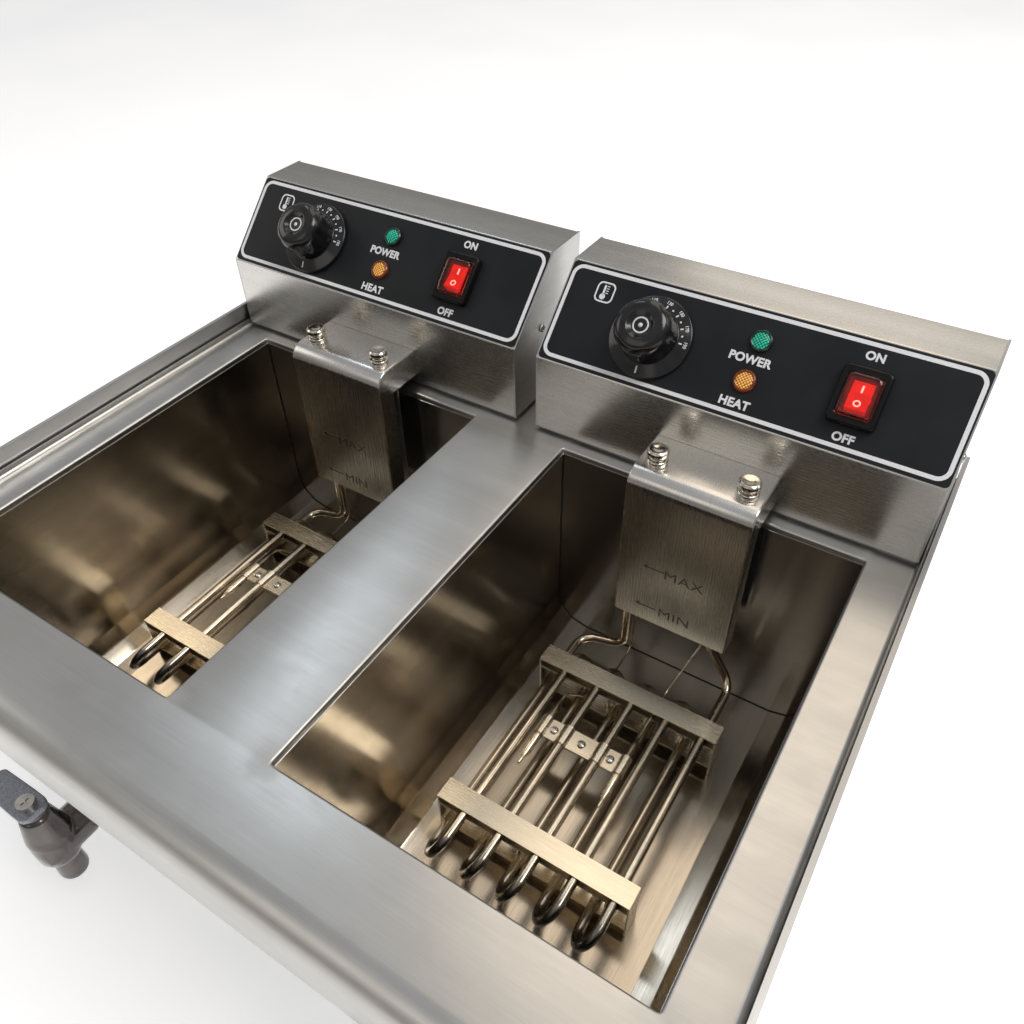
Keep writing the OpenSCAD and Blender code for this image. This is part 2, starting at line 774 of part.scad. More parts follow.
deck();
side_panel(-1);  // left_side_panel
side_panel(1);  // right_side_panel
front_panel();
rear_panel();
base_plate();
feet();
cabinet_screws();
tank(-1);  // left_tank
tank(1);  // right_tank
tap_body(-1);  // left_tap_body
tap_ball(-1);  // left_tap_ball
tap_lever(-1);  // left_tap_lever
tap_screw(-1);  // left_tap_screw
tap_body(1);  // right_tap_body
tap_ball(1);  // right_tap_ball
tap_lever(1);  // right_tap_lever
tap_screw(1);  // right_tap_screw
head_shell(-1);  // left_head_shell
end_plates(-1);  // left_end_plates
chassis(-1);  // left_chassis
control_label(-1);  // left_control_label
knob(-1);  // left_knob
knob_shaft(-1);  // left_knob_shaft
thermostat(-1);  // left_thermostat
limiter(-1);  // left_limiter
lamp(-1, power_at, "#0c8a52");  // left_power_lamp
lamp(-1, heat_at, "#f08a20");  // left_heat_lamp
switch_body(-1);  // left_switch_body
switch_rocker(-1);  // left_switch_rocker
switch_boot(-1);  // left_switch_boot
cord_gland(-1);  // left_cord_gland
element_cover(-1);  // left_element_cover
hanger_studs(-1);  // left_hanger_studs
heating_element(-1);  // left_heating_element
element_brackets(-1);  // left_element_brackets
bulb_clamp(-1);  // left_bulb_clamp
sensor_bulbs(-1);  // left_sensor_bulbs
head_screws(-1);  // left_head_screws
head_shell(1);  // right_head_shell
end_plates(1);  // right_end_plates
chassis(1);  // right_chassis
control_label(1);  // right_control_label
knob(1);  // right_knob
knob_shaft(1);  // right_knob_shaft
thermostat(1);  // right_thermostat
limiter(1);  // right_limiter
lamp(1, power_at, "#0c8a52");  // right_power_lamp
lamp(1, heat_at, "#f08a20");  // right_heat_lamp
switch_body(1);  // right_switch_body
switch_rocker(1);  // right_switch_rocker
switch_boot(1);  // right_switch_boot
cord_gland(1);  // right_cord_gland
element_cover(1);  // right_element_cover
hanger_studs(1);  // right_hanger_studs
heating_element(1);  // right_heating_element
element_brackets(1);  // right_element_brackets
bulb_clamp(1);  // right_bulb_clamp
sensor_bulbs(1);  // right_sensor_bulbs
head_screws(1);  // right_head_screws
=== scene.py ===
"""Looks of a countertop fryer with two tanks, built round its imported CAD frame.

Shapes are drawn in millimetres in local frames (worktop, head, sloping panel, tap) whose places come from the
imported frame, and are carried into the row frame in metres when a piece is made.
"""

import json
import math

import bmesh
import bpy
from mathutils import Matrix, Vector


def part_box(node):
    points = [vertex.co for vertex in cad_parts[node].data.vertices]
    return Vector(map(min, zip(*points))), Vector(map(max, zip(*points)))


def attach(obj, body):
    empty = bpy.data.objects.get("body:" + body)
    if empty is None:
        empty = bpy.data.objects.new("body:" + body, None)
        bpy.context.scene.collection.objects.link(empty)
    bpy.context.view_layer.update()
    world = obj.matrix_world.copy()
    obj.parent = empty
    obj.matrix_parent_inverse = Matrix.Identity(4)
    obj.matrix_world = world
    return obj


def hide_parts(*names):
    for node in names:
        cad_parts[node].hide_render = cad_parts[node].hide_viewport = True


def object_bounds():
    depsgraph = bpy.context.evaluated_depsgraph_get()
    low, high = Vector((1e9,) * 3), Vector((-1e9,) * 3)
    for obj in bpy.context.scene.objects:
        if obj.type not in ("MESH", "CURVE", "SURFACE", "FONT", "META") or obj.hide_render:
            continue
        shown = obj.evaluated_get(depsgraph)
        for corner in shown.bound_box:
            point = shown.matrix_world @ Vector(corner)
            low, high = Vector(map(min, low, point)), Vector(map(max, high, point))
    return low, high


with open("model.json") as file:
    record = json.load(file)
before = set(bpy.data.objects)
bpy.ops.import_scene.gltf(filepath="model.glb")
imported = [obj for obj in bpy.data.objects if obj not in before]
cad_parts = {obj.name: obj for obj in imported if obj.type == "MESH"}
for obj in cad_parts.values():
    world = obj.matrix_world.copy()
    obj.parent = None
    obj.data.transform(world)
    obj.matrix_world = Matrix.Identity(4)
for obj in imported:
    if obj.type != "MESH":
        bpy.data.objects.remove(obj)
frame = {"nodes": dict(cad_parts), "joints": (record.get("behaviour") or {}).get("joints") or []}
cad_low, cad_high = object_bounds()

MM = 0.001
SIDES = ("left", "right")
JOINTS = {joint["name"]: joint for joint in frame["joints"]}
ACROSS = Vector((1, 0, 0))
NORMAL = Vector(JOINTS["left_knob_turn"]["axis"])  # out of the sloping panels
UPHILL = NORMAL.cross(ACROSS)
TO_BACK = Matrix.Rotation(math.radians(-90), 4, "X")  # turns up into backwards

# ---------------------------------------------------------------- driving sizes, in millimetres

SHEET = 1.2  # cabinet, tank and cover sheet
SKIN = 1.0  # bent sheet of the heads
NOSE_R = 17  # worktop's rounded front edge
BEND = 1.8  # ordinary press-brake bend
FLANGE = 5  # depth of the worktop's edge round a tank
OPENING_R = 1.5  # corners of the worktop's openings
UPTURN_R = 3  # bend of the worktop's turned-up sides
UPTURN_RISE = (6, 14)  # the sides are half and fully turned up this far behind the rounded edge
TANK_R = 28  # long bottom edges of the tanks
TANK_FACETS = 3  # each long edge is pressed in this many strokes
STROKE_R = 4.5  # between two strokes
DRAIN_R = 6.5
FOOT_INSET = 18  # a foot's centre from the edges of the feet's box
NUT_R = 10.2  # bore of a tap's nut
NUT_Y = (29.5, 41.5)  # ends of a tap's nut, behind the lever's axis
FRONT_TOP = 61.9  # top of a head's vertical front, above the worktop
BACK_FOLD = 14
SLOT_LOW = 6.8  # foot of the slot that the cover's arm passes through
LABEL_T = 0.4
LABEL_R = 3
BORDER_W = 2.6  # printed border
BORDER_R = 8
PRINT_RISE = 0.06  # the print stands this far above the overlay
POWER_UP = 53  # places up the sloping panel
HEAT_UP = 26
LAMP_R = 7.25
LAMP_TAIL = -17.9  # back of a lamp's body
LENS_R = 5.4
LENS_LOW = 2.2
LENS_RISE = 1.95
PRISM = 2.3  # pitch of the crossed grooves in the lamps' lenses
PRISM_DEPTH = 0.35
KNOB_R = 28.4
KNOB_H = 31
GRIP_R = 19.2
SKIRT_TOP = 6.6  # height of the skirt where it meets the grip
DIAL_STEP = 12.75  # degrees between two marks of the dial
FRAME_SIZE = (29.5, 36.5)  # switch frame
FRAME_H = 7
FRAME_INSIDE = (27, 34)  # the switch's body behind the panel
BODY_TAIL = -26
BEZEL_Z = 2.6  # ledge round the rocker
BOOT_SEAT = (22, 27.4)
ROCKER_WELL = (13.4, 19.6)
ROCKER_END = (8.9, 4.6)  # half length of the rocker, and its height there
ROCKER_MIDDLE = 3.6  # its height in the middle
COVER_BEND = 12
COVER_EDGE = 1.6  # bend between the cover's face and its sides
COVER_SIDE = 16  # depth of the cover's folded sides
ARM_LOW = 10  # lower edge of the arm's folded sides
STUD_R = 7.3
SHANK_H = 5  # length of a stud's shank in the arm
ROD_R = 3.5
RODS = 5
ROD_PITCH = 28
RODS_BACK = 254
UPPER_Z = -147
LOWER_Z = -170
LEG_X = (-36.5, 31)  # left and right legs of the element
LEG_TOP = 20
LEG_BACK = 283  # the legs' distance from the tanks' front wall
LEG_END = 350  # the legs' terminals start here
TERMINAL_R = 2
BULB_R = 3
BULB_X = (-48.5, 14.45)
BULB_BACK = 205
CAPILLARY_R = 0.8
CAPILLARY_END = 340
SCREW_R = 3.3  # head of a pan-head screw
SCREW_H = 2
SHANK_R = 1.5


# ---------------------------------------------------------------- local frames

def placed(origin, turn=None):
    """Matrix that takes millimetres in a local frame to metres in the row frame."""
    matrix = Matrix.Translation(origin) @ Matrix.Scale(MM, 4)
    return matrix if turn is None else matrix @ turn.to_4x4()


def middle_x(node):
    low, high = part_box(node)
    return (low.x + high.x) / 2


TANK_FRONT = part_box("left_tank")[0].y + SHEET * MM
DECK_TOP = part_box("rear_panel")[1].z
WORKTOP = placed((0, TANK_FRONT, DECK_TOP))


def local_box(node, matrix=WORKTOP):
    """A node's box in millimetres in an unturned local frame."""
    back = matrix.inverted()
    low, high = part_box(node)
    return back @ low, back @ high


def head_frame(side):
    return placed((middle_x(f"{side}_end_plates"), TANK_FRONT, DECK_TOP))


def head_box(side, node):
    return local_box(f"{side}_{node}", head_frame(side))


def tank_frame(side):
    return placed((middle_x(f"{side}_tank"), TANK_FRONT, DECK_TOP))


def slope_frame(place):
    """X across the head, Y up the sloping panel, Z out of it, with its origin at a place on the panel."""
    return placed(place, Matrix((ACROSS, UPHILL, NORMAL)).transposed())


def joint_place(name):
    return Vector(JOINTS[name]["pos_m"])


def on_panel(side, node, up):
    """The point on the panel in line with a node's middle and up millimetres from the panel's foot."""
    foot = (middle_x(f"{side}_{node}"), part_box(f"{side}_end_plates")[0].y, DECK_TOP + FRONT_TOP * MM)
    return Vector(foot) + UPHILL * up * MM


# ---------------------------------------------------------------- outlines

def rounded(corners, radius, closed=False, steps=6):
    """2-D corner points with each corner turned into an arc. radius is one number, or one for each corner."""
    count = len(corners)
    radii = list(radius) if isinstance(radius, (list, tuple)) else [radius] * count
    points = []
    for i, corner in enumerate(corners):
        at = Vector(corner)
        if radii[i] <= 0 or (not closed and i in (0, count - 1)):
            points.append(at)
            continue
        before = (Vector(corners[i - 1]) - at).normalized()
        after = (Vector(corners[(i + 1) % count]) - at).normalized()
        half = math.acos(max(-1, min(1, before.dot(after)))) / 2
        centre = at + (before + after).normalized() * radii[i] / math.sin(half)
        start = at + before * radii[i] / math.tan(half) - centre
        sign = 1 if start.x * (-before.y) - start.y * (-before.x) > 0 else -1
        for k in range(steps + 1):
            angle = sign * (math.pi - 2 * half) * k / steps
            points.append(centre + Matrix.Rotation(angle, 2) @ start)
    return points


def round_rect(width, height, radius, steps=6):
    w, h = width / 2, height / 2
    return rounded([(-w, -h), (w, -h), (w, h), (-w, h)], radius, True, steps)


def circle(radius, count=48):
    turns = [2 * math.pi * k / count for k in range(count)]
    return [Vector((radius * math.cos(a), radius * math.sin(a))) for a in turns]


def quarter(steps):
    """Angles from 0 to 90 degrees."""
    return [math.pi / 2 * k / steps for k in range(steps + 1)]


def lift(points, height):
    """2-D points as 3-D points at a height."""
    return [Vector((p.x, p.y, height)) for p in points]


def upright(points, y):
    """2-D points as 3-D points in an upright plane."""
    return [Vector((p.x, y, p.y)) for p in points]


def shifted(points, x, y):
    return [p + Vector((x, y)) for p in points]


def smooth_step(t):
    t = max(0.0, min(1.0, t))
    return t * t * (3 - 2 * t)


# ---------------------------------------------------------------- mesh building

class Shape:
    """Faces of one piece, in millimetres in a local frame."""

    def __init__(self):
        self.mesh = bmesh.new()

    def face(self, points):
        self.mesh.faces.new([self.mesh.verts.new(p) for p in points])

    def grid(self, rows, closed=False):
        """Quads between rows of points; closed joins each row's ends."""
        table = [[self.mesh.verts.new(p) for p in row] for row in rows]
        for a, b in zip(table, table[1:]):
            count = len(a)
            for k in range(count if closed else count - 1):
                j = (k + 1) % count
                self.mesh.faces.new((a[k], a[j], b[j], b[k]))

    def fill(self, *loops):
        """A flat face inside the first loop and outside the others."""
        edges = []
        for loop in loops:
            verts = [self.mesh.verts.new(p) for p in loop]
            edges += [self.mesh.edges.new((v, verts[i - 1])) for i, v in enumerate(verts)]
        bmesh.ops.triangle_fill(self.mesh, use_beauty=True, edges=edges)
        return self

    def loft(self, loops, ends=(0, -1)):
        """A skin over closed loops of equal length, with a flat face over each loop that ends names."""
        self.grid(loops, closed=True)
        for end in ends:
            self.face(loops[end])
        return self

    def lathe(self, profile, count=64, radius=None):
        """Turns (r, z) points round Z. radius(r, z, angle) may change the radius."""
        rows = []
        for r, z in profile:
            row = []
            for k in range(count):
                angle = 2 * math.pi * k / count
                reach = radius(r, z, angle) if radius else r
                row.append(Vector((reach * math.cos(angle), reach * math.sin(angle), z)))
            rows.append(row)
        self.grid(rows, closed=True)
        return self

    def tube(self, path, radius, sides=16, caps=True):
        """A round tube along 3-D points. radius is one number, or one for each point."""
        radii = radius if isinstance(radius, list) else [radius] * len(path)
        rows, across = [], None
        for i, at in enumerate(path):
            along = (path[min(i + 1, len(path) - 1)] - path[max(i - 1, 0)]).normalized()
            if across is None:
                across = along.cross(Vector((0.3, 0.5, 0.8))).normalized()
            across = (across - along * across.dot(along)).normalized()
            other = along.cross(across)
            turns = [2 * math.pi * k / sides for k in range(sides)]
            rows.append([at + (across * math.cos(a) + other * math.sin(a)) * radii[i] for a in turns])
        self.loft(rows, (0, -1) if caps else ())

    def moved(self, matrix):
        bmesh.ops.transform(self.mesh, matrix=matrix, verts=self.mesh.verts)
        return self

    def join(self, other, matrix=None):
        """Adds another shape's faces."""
        if matrix is not None:
            other.moved(matrix)
        scratch = bpy.data.meshes.new("scratch")
        other.mesh.to_mesh(scratch)
        self.mesh.from_mesh(scratch)
        bpy.data.meshes.remove(scratch)

    def tidy(self, facing=None):
        """Merges shared points and turns the faces outward, or the largest one towards facing."""
        bmesh.ops.remove_doubles(self.mesh, verts=self.mesh.verts, dist=0.003)
        bmesh.ops.dissolve_degenerate(self.mesh, edges=self.mesh.edges, dist=0.002)
        bmesh.ops.recalc_face_normals(self.mesh, faces=self.mesh.faces)
        if facing is not None:
            largest = max(self.mesh.faces, key=lambda face: face.calc_area())
            if largest.normal.dot(Vector(facing)) < 0:
                bmesh.ops.reverse_faces(self.mesh, faces=self.mesh.faces)

    def linked(self, name):
        """A new object in the scene with this shape's mesh."""
        mesh = bpy.data.meshes.new(name)
        self.mesh.to_mesh(mesh)
        self.mesh.free()
        return linked(name, mesh)


def linked(name, data):
    """A new object in the scene."""
    made = bpy.data.objects.new(name, data)
    bpy.context.scene.collection.objects.link(made)
    return made


def flat(*outlines):
    """A flat face at height 0, inside the first 2-D outline and outside the others."""
    return Shape().fill(*[lift(outline, 0) for outline in outlines])


def soften(mesh, angle):
    """Smooth shading, with edges over an angle left sharp."""
    mesh.shade_smooth()
    mesh.set_sharp_from_angle(angle=math.radians(angle))


def piece(name, shape, matrix, body, material, node=None, facing=None, angle=35):
    """Makes a Blender object of a shape, puts it on its body and takes the place of a CAD node."""
    shape.tidy(facing)
    made = shape.moved(matrix).linked(name)
    soften(made.data, angle)
    made.data.materials.append(material)
    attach(made, body)
    if node:
        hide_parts(node)
    return made


def side_piece(side, name, shape, matrix, body, material, node=None, facing=None, angle=35):
    """A piece of one side: its name, its body's (bar the cabinet) and its CAD node's start with the side."""
    body = body if body == "cabinet" else f"{side}_{body}"
    node = node and f"{side}_{node}"
    return piece(f"{side}_{name}", shape, matrix, body, material, node, facing, angle)


def thicken(made, thickness, angle=35):
    """Gives a sheet its thickness behind the modelled face, and crisp edges."""
    solid = made.modifiers.new("sheet", "SOLIDIFY")
    solid.thickness = thickness * MM
    solid.offset = -1
    solid.use_even_offset = True
    made.data = bpy.data.meshes.new_from_object(made.evaluated_get(bpy.context.evaluated_depsgraph_get()))
    made.modifiers.clear()
    made.data.set_sharp_from_angle(angle=math.radians(angle))


def bevel(made, width, segments=2, angle=35):
    """Breaks the sharp edges."""
    cut = made.modifiers.new("edges", "BEVEL")
    cut.width = width * MM
    cut.segments = segments
    cut.limit_method = "ANGLE"
    cut.angle_limit = math.radians(angle)
    cut.use_clamp_overlap = True
    cut.harden_normals = True


def cad_piece(node, material, edge=0.0, segments=2):
    """A CAD node that stays, with a better material and broken edges."""
    made = frame["nodes"][node]
    made.data.materials.clear()
    made.data.materials.append(material)
    soften(made.data, 35)
    if edge:
        bevel(made, edge, segments)


def lettering(text, height, stretch=1.0, weight=0.0):
    """A flat word, centred on its origin, with capitals of the given height."""
    curve = bpy.data.curves.new("word", "FONT")
    curve.body = text
    curve.size = height / 0.7  # capitals are 0.7 of the font's size
    curve.align_x = "CENTER"
    curve.align_y = "CENTER"
    curve.offset = weight
    curve.resolution_u = 4
    curve.space_character = 1.04
    holder = linked("word", curve)
    shape = Shape()
    shape.mesh.from_mesh(holder.evaluated_get(bpy.context.evaluated_depsgraph_get()).to_mesh())
    holder.to_mesh_clear()
    bpy.data.objects.remove(holder)
    bpy.data.curves.remove(curve)
    return shape.moved(Matrix.Diagonal((stretch, 1, 1, 1)))


# ---------------------------------------------------------------- materials

def material(layout):
    """Makes a function that lays out nodes into one that returns a named material."""
    def make(name, *settings, **values):
        made = bpy.data.materials.new(name)
        layout(Nodes(made), *settings, **values)
        return made
    return make


class Nodes:
    """The shader of a material or world, and short ways to add nodes to it."""

    def __init__(self, owner, shader="Principled BSDF"):
        owner.use_nodes = True
        self.tree = owner.node_tree
        self.shader = self.tree.nodes[shader]

    def add(self, kind, values=None, **settings):
        node = self.tree.nodes.new(kind)
        for key, value in settings.items():
            setattr(node, key, value)
        for key, value in (values or {}).items():
            self.put(node.inputs[key], value)
        return node

    def put(self, socket, value):
        if isinstance(value, bpy.types.NodeSocket):
            self.tree.links.new(value, socket)
        else:
            socket.default_value = value

    def set(self, **values):
        for key, value in values.items():
            self.put(self.shader.inputs[key.replace("_", " ")], value)

    def place(self):
        return self.add("ShaderNodeTexCoord").outputs["Object"]

    def noise(self, scale, detail=3, rough=0.5, twist=0.0, vector=None):
        """Noise with features per metre; scale is one number or one for each axis."""
        vector = vector or self.place()
        if isinstance(scale, tuple):
            vector = self.add("ShaderNodeMapping", {"Vector": vector, "Scale": scale}).outputs[0]
            scale = 1.0
        values = {"Vector": vector, "Scale": scale, "Detail": detail, "Roughness": rough, "Distortion": twist}
        return self.add("ShaderNodeTexNoise", values).outputs["Fac"]

    def span(self, value, low, high, start=0.0, end=1.0):
        """Low to high as the value goes from start to end."""
        values = {"Value": value, "From Min": start, "From Max": end, "To Min": low, "To Max": high}
        return self.add("ShaderNodeMapRange", values).outputs[0]

    def math(self, operation, a, b=0.0):
        return self.add("ShaderNodeMath", {0: a, 1: b}, operation=operation).outputs[0]

    def vectors(self, operation, a, b, result="Vector"):
        return self.add("ShaderNodeVectorMath", {0: a, 1: b}, operation=operation).outputs[result]

    def plus(self, a, b, share):
        """a with a share of b added."""
        return self.math("ADD", a, self.math("MULTIPLY", b, share))

    def near(self, places, reach):
        """1 at any of the places, falling to 0 at reach metres from them."""
        nearest = 1.0
        for place in places:
            nearest = self.math("MINIMUM", self.vectors("DISTANCE", self.place(), place, "Value"), nearest)
        ragged = self.plus(nearest, self.noise(160.0, 3, 0.6), reach * 0.7)
        return self.span(ragged, 1.0, 0.0, reach * 0.35, reach * 1.35)

    def ramp(self, value, *stops):
        """Colour ramp; each stop is (position, colour)."""
        node = self.add("ShaderNodeValToRGB", {"Fac": value})
        elements = node.color_ramp.elements
        while len(elements) < len(stops):
            elements.new(0.5)
        for element, (position, colour) in zip(elements, stops):
            element.position = position
            element.color = (*colour, 1)
        return node.outputs["Color"]

    def shades(self, value, colour, *stops):
        """Colour ramp through shades of one colour; each stop is (position, factor)."""
        return self.ramp(value, *[(position, scaled(colour, factor)) for position, factor in stops])

    def bump(self, height, strength, distance, normal=None):
        node = self.add("ShaderNodeBump", {"Height": height, "Strength": strength, "Distance": distance * MM})
        if normal is not None:
            self.put(node.inputs["Normal"], normal)
        return node.outputs["Normal"]


def scaled(colour, factor):
    return tuple(min(1.0, c * factor) for c in colour)


# Features per metre along each axis, for sheet brushed along x, along y, or down a bent cover
GRAINS = {"x": (26, 1500, 1500), "y": (1500, 26, 1500), "yz": (2400, 20, 20)}


@material
def brushed(n, colour, rough, grain, depth, stain, wave=0.0, shine=0.55, smears=0.15, welds=()):
    """Brushed sheet: fine scratches and broad streaks along the grain, soft stains, slight waviness.

    welds are places where the grain was dressed away round a weld.
    """
    scratches = n.noise(GRAINS[grain], 4, 0.62)
    fine = n.noise(tuple(s * 1.7 for s in GRAINS[grain]), 2, 0.7)
    broad = n.noise(tuple(s / 22 for s in GRAINS[grain]), 3, 0.6)
    clouds = n.noise(11.0, 4, 0.55, 0.6)
    wipes = n.noise(38.0, 5, 0.6, 1.8)
    dressed = n.near(welds, 0.013) if welds else 0.0
    soft = n.plus(n.math("MULTIPLY", broad, 0.4), clouds, 0.3)
    tone = n.plus(n.plus(soft, scratches, 0.3), dressed, 0.1)
    worn = n.plus(n.math("MULTIPLY", fine, 1 - smears), wipes, smears)
    spread = n.span(worn, rough - 0.04, rough + 0.06, 0.3, 0.7)
    normal = n.bump(scratches, depth, 0.03)
    if wave:
        normal = n.bump(n.noise(7.0, 1, 0.4), wave, 3.0, normal)
    n.set(
        Base_Color=n.shades(
            tone, colour, (0.38, 1 - stain), (0.5, 1), (0.62, 1 + stain), (0.85, 1 + 3 * stain)
        ),
        Roughness=n.plus(spread, dressed, 0.14),
        Metallic=1.0, Normal=normal, Anisotropic=shine,
    )
    if grain == "yz":
        n.set(Tangent=n.add("ShaderNodeCombineXYZ", {"X": 1.0}).outputs[0])
        return
    axis = (1, 0, 0) if grain == "x" else (0, 1, 0)
    cross = n.vectors("CROSS_PRODUCT", n.add("ShaderNodeNewGeometry").outputs["Normal"], axis)
    # A small sum gives faces square to the grain a tangent too
    n.set(Tangent=n.vectors("ADD", cross, (0.004, 0.004, 0.006)))


@material
def tube_steel(n, colour, rough, tint, dark=None, bare=0.0):
    """Smooth sheathed tube, with heat tints that come and go along it. It is dark in front of y = bare."""
    bands = n.noise(24.0, 3, 0.5, 0.8)
    specks = n.noise(900.0, 3, 0.6)
    tone = n.ramp(bands, (0.35, scaled(colour, 0.8)), (0.5, colour), (0.68, tint))
    if dark:
        y = n.add("ShaderNodeSeparateXYZ", {"Vector": n.place()}).outputs["Y"]
        share = n.span(n.plus(y, bands, 0.02), 0, 1, bare, bare + 0.03)
        blend = n.add("ShaderNodeMix", data_type="RGBA")
        for socket, value in (("Factor", share), ("A", (*dark, 1)), ("B", tone)):
            n.put(blend.inputs[socket], value)
        tone = blend.outputs["Result"]
    n.set(
        Base_Color=tone, Metallic=1.0, Roughness=n.span(specks, rough - 0.05, rough + 0.1, 0.3, 0.7),
        Normal=n.bump(specks, 0.2, 0.03),
    )


@material
def skin(n, colour, coarse, fine, shades, rough, relief, **values):
    """A plain material: shades of a colour, uneven roughness and a relief.

    coarse and fine are the settings of two noises. shades, rough and relief each start with the number of the
    noise they follow (0 or 1), and go on with the stops, the span and the bump that they make of it.
    """
    noises = [n.noise(*settings) for settings in (coarse, fine)]
    n.set(
        Base_Color=n.shades(noises[shades[0]], colour, *shades[1:]),
        Roughness=n.span(noises[rough[0]], *rough[1:]),
        Normal=n.bump(noises[relief[0]], *relief[1:]), **values
    )


def plated(name, colour, rough, pits=0.15):
    """Bright plated or turned metal with faint clouding."""
    return skin(
        name, colour, (60.0, 4, 0.6, 0.8), (1400.0, 2, 0.5), (0, (0.35, 0.72), (0.62, 1)),
        (0, rough, rough + 0.12, 0.35, 0.7), (1, pits, 0.04), Metallic=1.0,
    )


def cast(name, colour):
    """Blasted casting: a coarse sparkle of pits."""
    return skin(
        name, colour, (70.0, 3, 0.5), (1500.0, 3, 0.65), (1, (0.38, 0.62), (0.5, 1), (0.64, 1.35)),
        (0, 0.25, 0.45), (1, 0.4, 0.12), Metallic=0.9,
    )


def satin_black(name, colour, rough=0.42):
    """Printed overlay or moulding with a fine leathery grain."""
    return skin(
        name, colour, (30.0, 3, 0.5), (2300.0, 2, 0.5), (0, (0.35, 0.85), (0.65, 1.2)),
        (1, rough - 0.05, rough + 0.08, 0.3, 0.7), (1, 0.22, 0.02), Specular_IOR_Level=0.2,
    )


def gloss_black(name, colour):
    """Glossy moulded plastic with fine wear that dulls it a little."""
    return skin(
        name, colour, (85.0, 5, 0.65, 1.2), (700.0, 2, 0.5), (0, (0.3, 0.8), (0.7, 1.5)),
        (0, 0.12, 0.28, 0.35, 0.7), (1, 0.06, 0.03),
        Coat_Weight=0.25, Coat_Roughness=0.05, Specular_IOR_Level=0.4,
    )


def moulded(name, colour, rough):
    """Plain moulded resin or rubber."""
    return skin(
        name, colour, (45.0, 4, 0.6), (1100.0, 3, 0.6), (0, (0.3, 0.82), (0.7, 1.12)),
        (1, rough - 0.06, rough + 0.08, 0.3, 0.7), (1, 0.3, 0.05),
    )


@material
def ink(n, colour, glow=0.0):
    """Screen-printed ink, which may be lit from behind."""
    grain = n.noise(1200.0, 3, 0.6)
    n.set(
        Base_Color=n.shades(grain, colour, (0.3, 0.86), (0.6, 1)), Roughness=n.span(grain, 0.4, 0.6),
        Normal=n.bump(grain, 0.1, 0.02), Emission_Color=(*colour, 1), Emission_Strength=glow,
    )


# The two directions, in turns per metre, across the grooves of the lamps' lenses
PRISM_WAVES = [(ACROSS + UPHILL * sign) * math.pi / (PRISM * MM) for sign in (1, -1)]


@material
def lamp_lens(n, colour, deep, glow):
    """Clear coloured plastic lit from behind through crossed prisms."""
    ridges = []
    for direction in PRISM_WAVES:
        along = n.vectors("DOT_PRODUCT", n.place(), direction, "Value")
        ridges.append(n.math("ABSOLUTE", n.math("SINE", along)))
    uneven = n.plus(n.math("MULTIPLY", *ridges), n.noise(330.0, 2, 0.5), 0.5)
    n.set(
        Base_Color=(*scaled(colour, 0.12), 1), Roughness=n.span(uneven, 0.04, 0.1), Coat_Weight=0.15,
        Emission_Color=n.ramp(uneven, (0.35, deep), (0.7, scaled(colour, 0.5)), (1.0, colour)),
        Emission_Strength=glow, Specular_IOR_Level=0.3,
    )


@material
def lit_plastic(n, colour, deep, glow):
    """Translucent plastic lit unevenly from inside."""
    cells = n.noise(120.0, 2, 0.5)
    tint = n.ramp(cells, (0.3, deep), (0.6, colour))
    n.set(
        Base_Color=tint, Emission_Color=tint, Emission_Strength=glow, Roughness=n.span(cells, 0.06, 0.16),
        Coat_Weight=0.35, Specular_IOR_Level=0.5,
    )


@material
def clear_cover(n, colour):
    """Soft clear splash cover over the rocker."""
    haze = n.noise(240.0, 3, 0.6)
    n.set(
        Base_Color=n.shades(haze, colour, (0.3, 0.92), (0.7, 1)), Transmission_Weight=1.0, IOR=1.4,
        Roughness=n.span(haze, 0.01, 0.06), Normal=n.bump(haze, 0.05, 0.05),
    )


opening_corners = [
    Vector((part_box(f"{side}_tank")[i].x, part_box(f"{side}_tank")[j].y, DECK_TOP))
    for side in SIDES for i in (0, 1) for j in (0, 1)
]
deck_steel = brushed("deck_steel", (0.56, 0.55, 0.53), 0.32, "x", 0.12, 0.09, 0.5, 0.5, 0.4, opening_corners)
cabinet_steel = brushed("cabinet_steel", (0.55, 0.55, 0.55), 0.34, "x", 0.1, 0.06)
side_steel = brushed("side_steel", (0.55, 0.55, 0.55), 0.34, "y", 0.1, 0.06)
# Painted shade: the tanks' trough and end plates are given a much darker, browner base colour than the
# worktop's steel of the same sheet, standing for the shade inside the tanks
trough_steel = brushed("trough_steel", (0.44, 0.39, 0.32), 0.19, "y", 0.06, 0.14, 0.3, 0.5)
wall_steel = brushed("wall_steel", (0.33, 0.32, 0.305), 0.2, "x", 0.05, 0.08, 0.1, 0.7)
head_steel = brushed("head_steel", (0.64, 0.625, 0.60), 0.26, "x", 0.05, 0.08, 0.25, 0.5, 0.25)
end_steel = brushed("end_steel", (0.56, 0.555, 0.55), 0.3, "y", 0.1, 0.06)
cover_steel = brushed("cover_steel", (0.62, 0.605, 0.58), 0.25, "yz", 0.01, 0.05, 0.15, 0.6)
